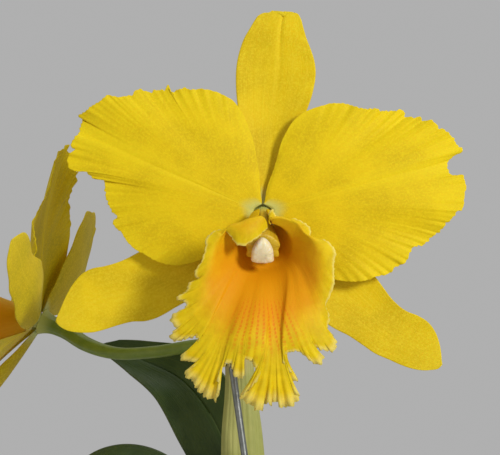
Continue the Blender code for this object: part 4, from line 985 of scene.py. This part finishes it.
lip_margin = [  # degrees round the lip's tube from its underside, and the margin's point there in mm
    (-165, 1.8, -25.5, -5.6), (-150, -2.9, -28.5, -9), (-136, -8, -29, -11.6), (-129, -10.4, -28.5, -10.6),
    (-124, -13, -27.5, -7.2), (-119, -16.8, -27, -6.4), (-112, -20, -27, -9.6), (-105, -21.3, -28, -13.2),
    (-98, -22.7, -28, -17.2), (-92, -24.9, -28, -19.9), (-86, -25.5, -27.5, -23),
    (-81, -24.5, -27.5, -24.5), (-77, -27.6, -27, -25.7), (-73, -28.9, -26.5, -28.9),
    (-69, -32.1, -26, -31.6), (-67, -29, -26.5, -32.4), (-64, -28.5, -26.5, -34.7),
    (-60, -33.9, -25, -39.2), (-58.5, -32, -25.5, -41.9), (-56, -33.9, -24, -45.4),
    (-53.5, -32, -25, -46.8), (-52, -27.2, -27, -45.9), (-50, -24.9, -28, -45), (-48, -23.6, -28.5, -47.7),
    (-45.5, -26.2, -27, -50.9), (-43, -30.3, -26, -52.2), (-41.5, -30.3, -26, -54),
    (-39, -24.9, -29, -54.9), (-35, -29.4, -27, -59.4), (-32.5, -26.2, -27, -62.1),
    (-29, -23.6, -27, -66.1), (-26, -17.7, -28, -68.8), (-24.5, -16.8, -28.5, -66.5),
    (-22, -16.6, -30, -60.3), (-18, -13.3, -32, -54.9), (-15, -11.6, -32, -56), (-13, -10.1, -31, -59.8),
    (-11, -7.4, -31.5, -59.8), (-9, -7.6, -32, -54), (-7, -5.2, -32, -53.3), (-5, -3.7, -32, -54.9),
    (-3, -3, -31.5, -56.7), (-1, -1.2, -31, -57.1), (0.5, -1.6, -31, -59.8), (3, -5.6, -30, -64.8),
    (6, -8.8, -29, -67.5), (8, -6.1, -28.5, -69.2), (12, -1.2, -28, -72.4), (14.5, 1.5, -28, -69.7),
    (16, 3.3, -28, -70.6), (18, 4.7, -28, -69.2), (20, 6.9, -27.5, -71.5), (22.5, 10.5, -27, -71),
    (25, 13.6, -27, -67.9), (27.5, 10.5, -28, -64.8), (29.5, 10.1, -28, -62.1), (31, 12.8, -27, -61.6),
    (32.5, 12.8, -27, -60.3), (35, 9.6, -29.5, -58), (38, 7.1, -31, -54), (41, 8.7, -30.5, -51.3),
    (43.5, 12.8, -29.5, -50.4), (46.5, 18.6, -27.5, -54.9), (48, 20.4, -27, -55.3), (50, 21.7, -27, -52.6),
    (52, 19.5, -28, -50.4), (53, 18.8, -28, -49), (54.5, 21.5, -27.5, -50), (56.5, 25.8, -26, -50.4),
    (59, 26.7, -26, -46.8), (62.5, 24, -27, -43.7), (67, 24.9, -27, -38.7), (72.5, 23.5, -28, -33.8),
    (77, 24.9, -28, -30.7), (83, 26.2, -28, -26.2), (92, 25.8, -28, -19), (99, 26.2, -27.5, -14.5),
    (105, 24, -27, -11.4), (112, 19.9, -26, -10), (117, 17.7, -25, -8.7), (122, 18.1, -25, -5.5),
    (128, 16.8, -25, -3.3), (135, 14.1, -24, -2.4), (142, 10.5, -24, -2.7), (149, 6.9, -24, -4.2),
    (155, 5.1, -24, -2), (160, 3.3, -24, 1.6), (163, 2, -24, -0.6), (165, 2.6, -24.5, -4),
]
lip_skirt = [  # the same for the calm skirt inside the tongues, which the tongues are drawn out of
    (-165, 1.8, -25.5, -5.6), (-136, -7.5, -29, -10.5), (-119, -15.5, -27.5, -8.6),
    (-105, -20.5, -27.5, -14), (-92, -23.5, -28, -20), (-77, -26, -27.5, -27), (-64, -28, -26.5, -35.5),
    (-56, -28, -26.5, -41.5), (-50, -25.3, -27.5, -45.5), (-43, -25.3, -27.5, -50),
    (-39, -23.3, -28.5, -53.5), (-26, -17.2, -29.8, -56), (-18, -13, -31, -55), (-11, -8.5, -31.5, -55.5),
    (-5, -4, -31.5, -55), (-1, -0.5, -31.2, -56.5), (6, 1.6, -31, -58.5), (12, 3, -30.5, -60),
    (20, 5.5, -30, -60), (27.5, 8, -30, -58.5), (35, 8.6, -30, -55.5), (41, 10, -29.8, -52),
    (46.5, 15.5, -28.8, -50.5), (53, 19, -28, -48.2), (59, 23.5, -27.2, -45), (67, 24.5, -27.2, -38.5),
    (77, 24.7, -27.8, -30.5), (92, 25.4, -28, -19), (105, 23.2, -27, -12.6), (117, 18.5, -25.6, -8.6),
    (128, 16, -25, -5), (142, 10.5, -24, -3.6), (155, 5, -24, -3), (165, 2.6, -24.5, -4),
]
lip_foot, lip_throat = np.array([0, -4, -2.4]), np.array([0.5, -18.5, -12])
foot_radius, throat_radius, tube_share = 4.9, 10.8, 0.30
lip_flare = [  # degrees, how the lip leaves its throat, and how it arrives at its margin
    (-165, (0, -3, 4), (0, -1, 5)), (-140, (-3, -3, 5), (1, -2, 6)), (-110, (-6, -5, 3), (5, -2, 5)),
    (-80, (-7, -7, -1), (8, -3, 5)), (-50, (-6, -8, -4), (8, -5, 8)), (-20, (-3, -8, -6), (3, -5, 14)),
    (0, (0, -8, -6), (1, -5, 15)), (20, (3, -8, -6), (-2, -5, 14)), (50, (6, -8, -4), (-6, -5, 9)),
    (80, (7, -7, -1), (-6, -3, 5)), (110, (6, -5, 2), (-6, -2, 3)), (140, (4, -3, 4), (-5, -1, 2)),
    (165, (1, -2, 3), (-2, -1, 2)),
]


def lip_sheet(rows, columns):
    """A tube round the column, open along its top, then a flare: each column is a cubic curve that leaves
    the throat along the tube's flare and arrives at a calm skirt. The eighth power of the way draws it on to
    its own point of the slashed margin. Columns are even along the margin. Ripples grow with the eleventh
    power of the way, teeth with the fourteenth and frills with the sixteenth, and the low tips lean forward
    with the tenth."""
    at, *margin = np.array(lip_margin).T
    dense = np.linspace(at[0], at[-1], 4001)
    path = through(at, np.stack(margin, axis=-1), dense)
    length = np.concatenate([[0], np.cumsum(np.linalg.norm(np.diff(path, axis=0), axis=1))])
    along_margin = np.linspace(0, length[-1], columns)
    degrees = np.interp(along_margin, length, dense)
    edge = through(at, np.stack(margin, axis=-1), degrees)
    calm = through([entry[0] for entry in lip_skirt], [entry[1:] for entry in lip_skirt], degrees)
    axis = unit(lip_throat - lip_foot)
    right = np.array([1.0, 0, 0])
    over = np.cross(axis, right)
    turn = np.radians(degrees)[:, None]
    spoke = np.sin(turn) * right - np.cos(turn) * over
    tube_rows = int(rows * tube_share)
    share = np.linspace(0, 1, tube_rows)[:, None, None]
    centre = (1 - share) * lip_foot + share * lip_throat
    throat = centre + ((1 - share) * foot_radius + share * throat_radius) * spoke
    flare_at = [entry[0] for entry in lip_flare]
    leave = throat[-1] + through(flare_at, [entry[1] for entry in lip_flare], degrees)
    arrive = calm + through(flare_at, [entry[2] for entry in lip_flare], degrees)
    low = np.clip(1.25 - np.abs(degrees + 5) / 85, 0, 1)
    outward = unit(np.cross(np.array([0, 1.0, 0]), np.gradient(edge, axis=0)))
    tooth = crinkles(along_margin, 21, [(1.4, 0.26), (2.4, 0.34)]) * (0.5 + 0.9 * low)
    t = np.linspace(0, 1, rows - tube_rows + 1)[1:, None, None]
    flare = ((1 - t) ** 3 * throat[-1] + 3 * (1 - t) ** 2 * t * leave + 3 * (1 - t) * t ** 2 * arrive
             + t ** 3 * calm)
    normal = unit(np.cross(np.gradient(flare, axis=1), np.gradient(flare, axis=0)))
    flare = flare + t ** 8 * (edge - calm) + t ** 14 * tooth[:, None] * outward
    t = t[..., 0]
    tip = np.clip(((edge - calm) * unit(calm - lip_throat)).sum(1) / 8, 0, 1) * low
    ripple = crinkles(along_margin, 22, [(6.2, 0.42), (3.3, 0.22)]) * (0.6 + 0.4 * low)
    frill = crinkles(along_margin, 24, [(3.4, 0.9), (5.1, 0.8)]) * tip
    broad = crinkles(degrees * 0.45, 23, [(23, 1.2), (13, 0.5)])
    flare = flare + (ripple * t ** 11 + frill * t ** 16 + broad * t ** 2.5)[..., None] * normal
    flare[..., 1] -= 3.6 * tip * t ** 10 + 1.5 * np.sin(math.pi * t) * np.cos(np.radians(degrees)) ** 2
    sheet = np.concatenate([throat, flare])
    across = (degrees - at[0]) / (at[-1] - at[0])
    reach = np.concatenate([tube_share * share[:, 0, 0], tube_share + (1 - tube_share) * t[:, 0]])
    return sheet, reach, across


def lip_coat(name, deep, bright):
    """The lip's skin. Its colour is set out on the flower's own axes: an orange throat that fades out from
    14 to 37 mm round a point 26 mm below the flower's middle, and red lines of dots that fan down from a
    point 16 mm below it, on the inner face."""
    coat = Coat(name, Specular_IOR_Level=0.16, Subsurface_Weight=0.12, Subsurface_Scale=0.002,
                Subsurface_Radius=(1.0, 0.5, 0.1))
    across_at, share_at, front_at = coat.grain()
    x, _, z = coat.grain("place")
    wander = coat.mottle(190, 3, 0.6)
    veins = coat.streaks(across_at * 110, share_at * 3, 0, 3, 0.6)
    cells = coat.mottle(2300, 2, 0.7)
    away = ((x * 0.80) ** 2 + (z + 26.0) ** 2).math("SQRT")
    glow = (away + wander * 9.0).step(37.0, 14.0) * share_at.step(0.99, 0.66)
    fan_x, fan_z = x - 0.3, z + 16.0
    angle = fan_x.math("ARCTAN2", fan_z * -1.0)
    reach = (fan_x ** 2 + fan_z ** 2).math("SQRT")
    lines = (angle * 78.0 + wander * 5.0).math("SINE")
    dots = (reach * 4.4 + angle * 47.0 + wander * 16.0).math("SINE")
    ragged = reach + wander * 8.0
    inside = ragged.step(18.0, 25.0) * ragged.step(44.0, 31.0) * (angle ** 2).step(0.34, 0.08)
    red = lines.step(-0.1, 0.8) * (dots.step(-0.7, 0.5) * 0.7 + 0.3) * inside * (1.0 - front_at)
    colour = coat.layered(deep, (wander.step(0.3, 0.7), bright),
                          (veins.step(0.42, 0.72) * 0.16, (0.80, 0.60, 0.030)),
                          (glow * 0.95, (0.72, 0.285, 0.0012)), (red * 0.70, (0.70, 0.15, 0.002)),
                          (share_at.step(0.965, 1.0) * 0.65, (0.83, 0.68, 0.20)))
    coat.finish(colour, roughness=0.52 + 0.16 * cells, bump=veins * 0.6 + cells * 0.5, depth=0.00018)
    return coat.material


for name, (deep, bright) in flower_tints_and_painted_shade.items():
    rows, columns = 64, 720
    sheet, share, across = lip_sheet(rows, columns)
    thickness = (1.0 - 0.68 * share)[:, None] * np.ones(columns)
    points, faces = solid_sheet(to_flower(sheet, name), thickness * MM)
    place = np.broadcast_to(sheet, points.shape)
    grain = sheet_grain(rows, columns, share)
    grain[..., 0] = across
    piece(f"{name}_lip_blade", points, faces, lip_coat(f"{name}_lip_skin", deep, bright), "lip",
          [f"{name}_lip"], grain=grain, place=place)

# ------------------------------------------------------------------ column and anther cap
# The fleshy column lies under the lip's overlap and carries the white anther cap on its end. It is winged at
# the sides, and its hollow underside holds the stigma.

column_spine = [(0, 2.6, 0), (0, -5, -1.9), (0, -14, -7), (-0.2, -22.2, -12.3)]
cap_rings = np.array([(0.2, 3.4, 4.6), (1.0, 3.9, 5.2), (2.2, 4.1, 5.4), (3.2, 3.9, 5.1), (4.0, 3.3, 4.3),
                      (4.5, 2.0, 2.6)])  # mm past the column's end, half width and half depth


def column_coat(name, side, rib):
    """A waxy fleshy skin, green at the column's foot and ribbed along it."""
    coat = Coat(name, Specular_IOR_Level=0.45, Subsurface_Weight=0.15, Subsurface_Scale=0.002,
                Subsurface_Radius=(1.0, 0.7, 0.3))
    turn_at, share_at, _ = coat.grain()
    ribs = coat.streaks(turn_at * 30, share_at * 2, 0, 2)
    mottle = coat.mottle(420, 3)
    colour = coat.layered(side, (ribs.step(0.4, 0.7), rib),
                          (share_at.step(0.35, 0.05) * 0.8, (0.45, 0.52, 0.16)))
    coat.finish(colour, roughness=0.34 + 0.2 * mottle, bump=ribs + mottle * 0.4, depth=0.0003)
    return coat.material


for name in flower_tints_and_painted_shade:
    share = np.linspace(0, 1, 90)
    path = along(column_spine, share)
    widths, depths = even([3.4, 3.0, 4.6, 5.9], share), even([3.4, 2.9, 3.6, 5.2], share)
    turn = full_turn(64)
    wing = 0.16 * np.abs(np.cos(turn)) ** 12 * np.clip(share[:, None] * 1.6 - 0.5, 0, 1)
    hollow = 0.30 * bell(turn, 1.5 * math.pi, 0.40) * np.clip(share[:, None] * 3 - 1.9, 0, 1)
    cheeks = bell(turn, 1.26 * math.pi, 0.30) + bell(turn, 1.74 * math.pi, 0.30)
    wing = wing + 0.56 * cheeks * np.clip(share[:, None] * 2.2 - 1.2, 0, 1)
    ripple = (1 + wing - hollow) * (0.90 + 0.08 * ends_rounded(share, 0.06)[:, None])
    closing = ends_rounded(share, 0.05)
    points, faces, grain = tube(path, widths * closing, depths * closing, (1, 0, 0), 64, ripple)
    piece(f"{name}_column_body", to_flower(points, name), faces,
          column_coat(f"{name}_column_skin", (0.56, 0.36, 0.008), (0.66, 0.45, 0.02)), "petal",
          [f"{name}_column"], grain=grain)

    forward = unit(path[-1] - path[-2])
    reach, half_width, half_depth = (even(values, np.linspace(0, 1, 40)) for values in cap_rings.T)
    cap_path = path[-1] + forward * (0.5 + reach)[:, None]
    corner = bell(turn, 1.24 * math.pi, 0.24) + bell(turn, 1.76 * math.pi, 0.24)
    lobes = 1 + 0.20 * corner - 0.10 * bell(turn, 1.5 * math.pi, 0.22)
    points, faces, grain = tube(cap_path, half_width, half_depth, (1, 0, 0), 64,
                                1 + (lobes - 1) * np.linspace(1, 0.60, 40)[:, None])
    rise = (points - path[-1]) @ unit(np.cross(forward, (1, 0, 0)))
    hood = np.interp(rise, (-5, 5), (1.20, 0.72))  # the cap is a hood, narrow above and wide below
    points[:, 0] = path[-1, 0] + (points[:, 0] - path[-1, 0]) * hood
    piece(f"{name}_anther_cap_body", to_flower(points, name), faces,
          column_coat(f"{name}_cap_skin", (0.80, 0.68, 0.38), (0.88, 0.80, 0.60)), "anther_cap",
          [f"{name}_anther_cap"], grain=grain)

# ------------------------------------------------------------------ stake and tie
# A galvanised wire pushed into the bark holds the flower stem up, and a plastic-covered wire ties it to the
# flowering growth. The tie's two ends are twisted together.

stake_low = cad_end("stake", sign=-1)
stake_way = cad_end("stake") - stake_low
wire_radius = 0.00135
share = np.linspace(0, 1, 220)
thick = wire_radius * ends_rounded(share, 0.0022)
points, faces, grain = tube(stake_low + share[:, None] * stake_way, thick, thick, (1, 0, 0), 32)
zinc = Coat("galvanised_wire", Metallic=1.0)
turn_at, share_at, _ = zinc.grain()
spangle = zinc.streaks(turn_at * 3, share_at * 60, 0, 3, 0.6)
drawn = zinc.streaks(turn_at * 40, share_at * 5, 0, 2)
bloom = zinc.mottle(260, 4, 0.6)
colour = zinc.layered((0.19, 0.20, 0.185), (spangle.step(0.35, 0.65), (0.27, 0.28, 0.26)),
                      (bloom.step(0.55, 0.75) * 0.3, (0.45, 0.45, 0.41)))
zinc.finish(colour, roughness=0.30 + 0.2 * bloom, bump=drawn + bloom * 0.5, depth=0.00006)
piece("stake_wire", points, faces, zinc.material, "stake", ["stake"], grain=grain)

tie_points = cad_points("plant_tie")
tie_height = tie_points[:, 2].mean()
tie_radius = (tie_points[:, 2].max() - tie_points[:, 2].min()) / 2
stake_there = stake_low + stake_way * (tie_height - stake_low[2]) / stake_way[2]
bulb_there = tops["1"] + (0, 0, tie_height - tops["1"][2])
bulb_neck, slack = 0.0072, 0.001
turn = full_turn(240)
out = np.stack([np.cos(turn), np.sin(turn)], axis=-1)
hoops = [(bulb_there[:2], bulb_neck + tie_radius + slack),
         (stake_there[:2], wire_radius + tie_radius + slack)]
reach = np.stack([out @ middle + radius for middle, radius in hoops], axis=-1)
centres, radii = (np.array(values)[reach.argmax(axis=-1)] for values in zip(*hoops))
loop = centres + out * radii[:, None]
for _ in range(6):
    loop = (np.roll(loop, 1, 0) + 2 * loop + np.roll(loop, -1, 0)) / 4
loop = np.concatenate([loop, np.full((len(loop), 1), tie_height)], axis=-1)
loop = np.concatenate([loop, loop[:1]])
cover = Coat("tie_cover", Specular_IOR_Level=0.5)
scuff = cover.mottle(700, 3, 0.6)
cover.finish(cover.mix(scuff.step(0.45, 0.75), (0.018, 0.085, 0.022), (0.045, 0.14, 0.045)),
             roughness=0.38 + 0.25 * scuff, bump=scuff, depth=0.0001)
points, faces, grain = tube(loop, tie_radius, tie_radius, (0, 0, 1), 12)
piece("plant_tie_belt", points, faces, cover.material, "tie", ["plant_tie"], grain=grain)

twist = np.linspace(0, 1, 70)[:, None]
start = loop[np.argmin(loop[:, 1])]
thick = tie_radius * ends_rounded(twist[:, 0], 0.06)
for number, side in enumerate((0, math.pi)):
    coil = side + 2 * math.pi * 3.2 * twist
    curl = tie_radius * np.hstack([np.cos(coil), 0 * coil, np.sin(coil)])
    spread = np.maximum(twist - 0.72, 0) ** 2 * 0.06 * math.cos(side)
    way = start + curl + twist * (0, -0.0085, 0) + spread * (1, 0, 0.4)
    points, faces, grain = tube(way, thick, thick, (0, 0, 1), 10)
    piece(f"plant_tie_end_{number + 1}", points, faces, cover.material, "tie", grain=grain)

# ------------------------------------------------------------------ camera, light and floor
# A long lens straight in front of the open flower. A broad soft lamp stands high in front on the right, a
# weak one fills from the left, one hangs above, and the floor is a plain pale disc.

studio = bpy.context.scene
studio.view_settings.view_transform = "Standard"
middle = Vector(flower_at["front"])
eye = bpy.data.cameras.new("eye")
eye.lens, eye.sensor_width, eye.clip_end = 180, 36, 20
camera = bpy.data.objects.new("eye", eye)
camera.location = middle + Vector((-0.0049, -0.95, -0.0051))
camera.rotation_euler = (math.pi / 2, 0, 0)
studio.collection.objects.link(camera)
studio.camera = camera

room = bpy.data.worlds.new("room")
room.use_nodes = True
backdrop = room.node_tree.nodes["Background"].inputs
backdrop["Color"].default_value = (0.60, 0.60, 0.60, 1)
backdrop["Strength"].default_value = 0.72
studio.world = room
lamps = {  # how far from the flower in metres, across in metres, and watts
    "key": ((0.62, -0.85, 0.34), 0.26, 8.8),
    "fill": ((-1.1, -0.7, 0.1), 0.9, 1.2),
    "top": ((0.1, 0.3, 1.2), 0.8, 3.5),
}
for name, (offset, size, power) in lamps.items():
    lamp = bpy.data.lights.new(name, "AREA")
    lamp.shape, lamp.size, lamp.energy = "DISK", size, power
    holder = bpy.data.objects.new(name, lamp)
    holder.location = middle + Vector(offset)
    holder.rotation_euler = Vector(offset).to_track_quat("Z", "Y").to_euler()
    studio.collection.objects.link(holder)

floor_radius, floor_sides, floor_gap = 2.5, 96, 0.0003
turn = full_turn(floor_sides)
rim = floor_radius * np.stack([np.cos(turn), np.sin(turn), 0 * turn], axis=-1)
disc = bpy.data.meshes.new("floor")
disc.from_pydata(rim.tolist(), [], [list(range(floor_sides))])
floor = bpy.data.objects.new("floor", disc)
floor.location.z = cad_box[0][2] - floor_gap
studio.collection.objects.link(floor)
pale = Coat("floor", Specular_IOR_Level=0.2)
cloud = pale.mottle(3, 2)
pale.finish(pale.mix(cloud, (0.60, 0.59, 0.57), (0.64, 0.63, 0.61)), roughness=0.8 + 0.1 * cloud)
disc.materials.append(pale.material)
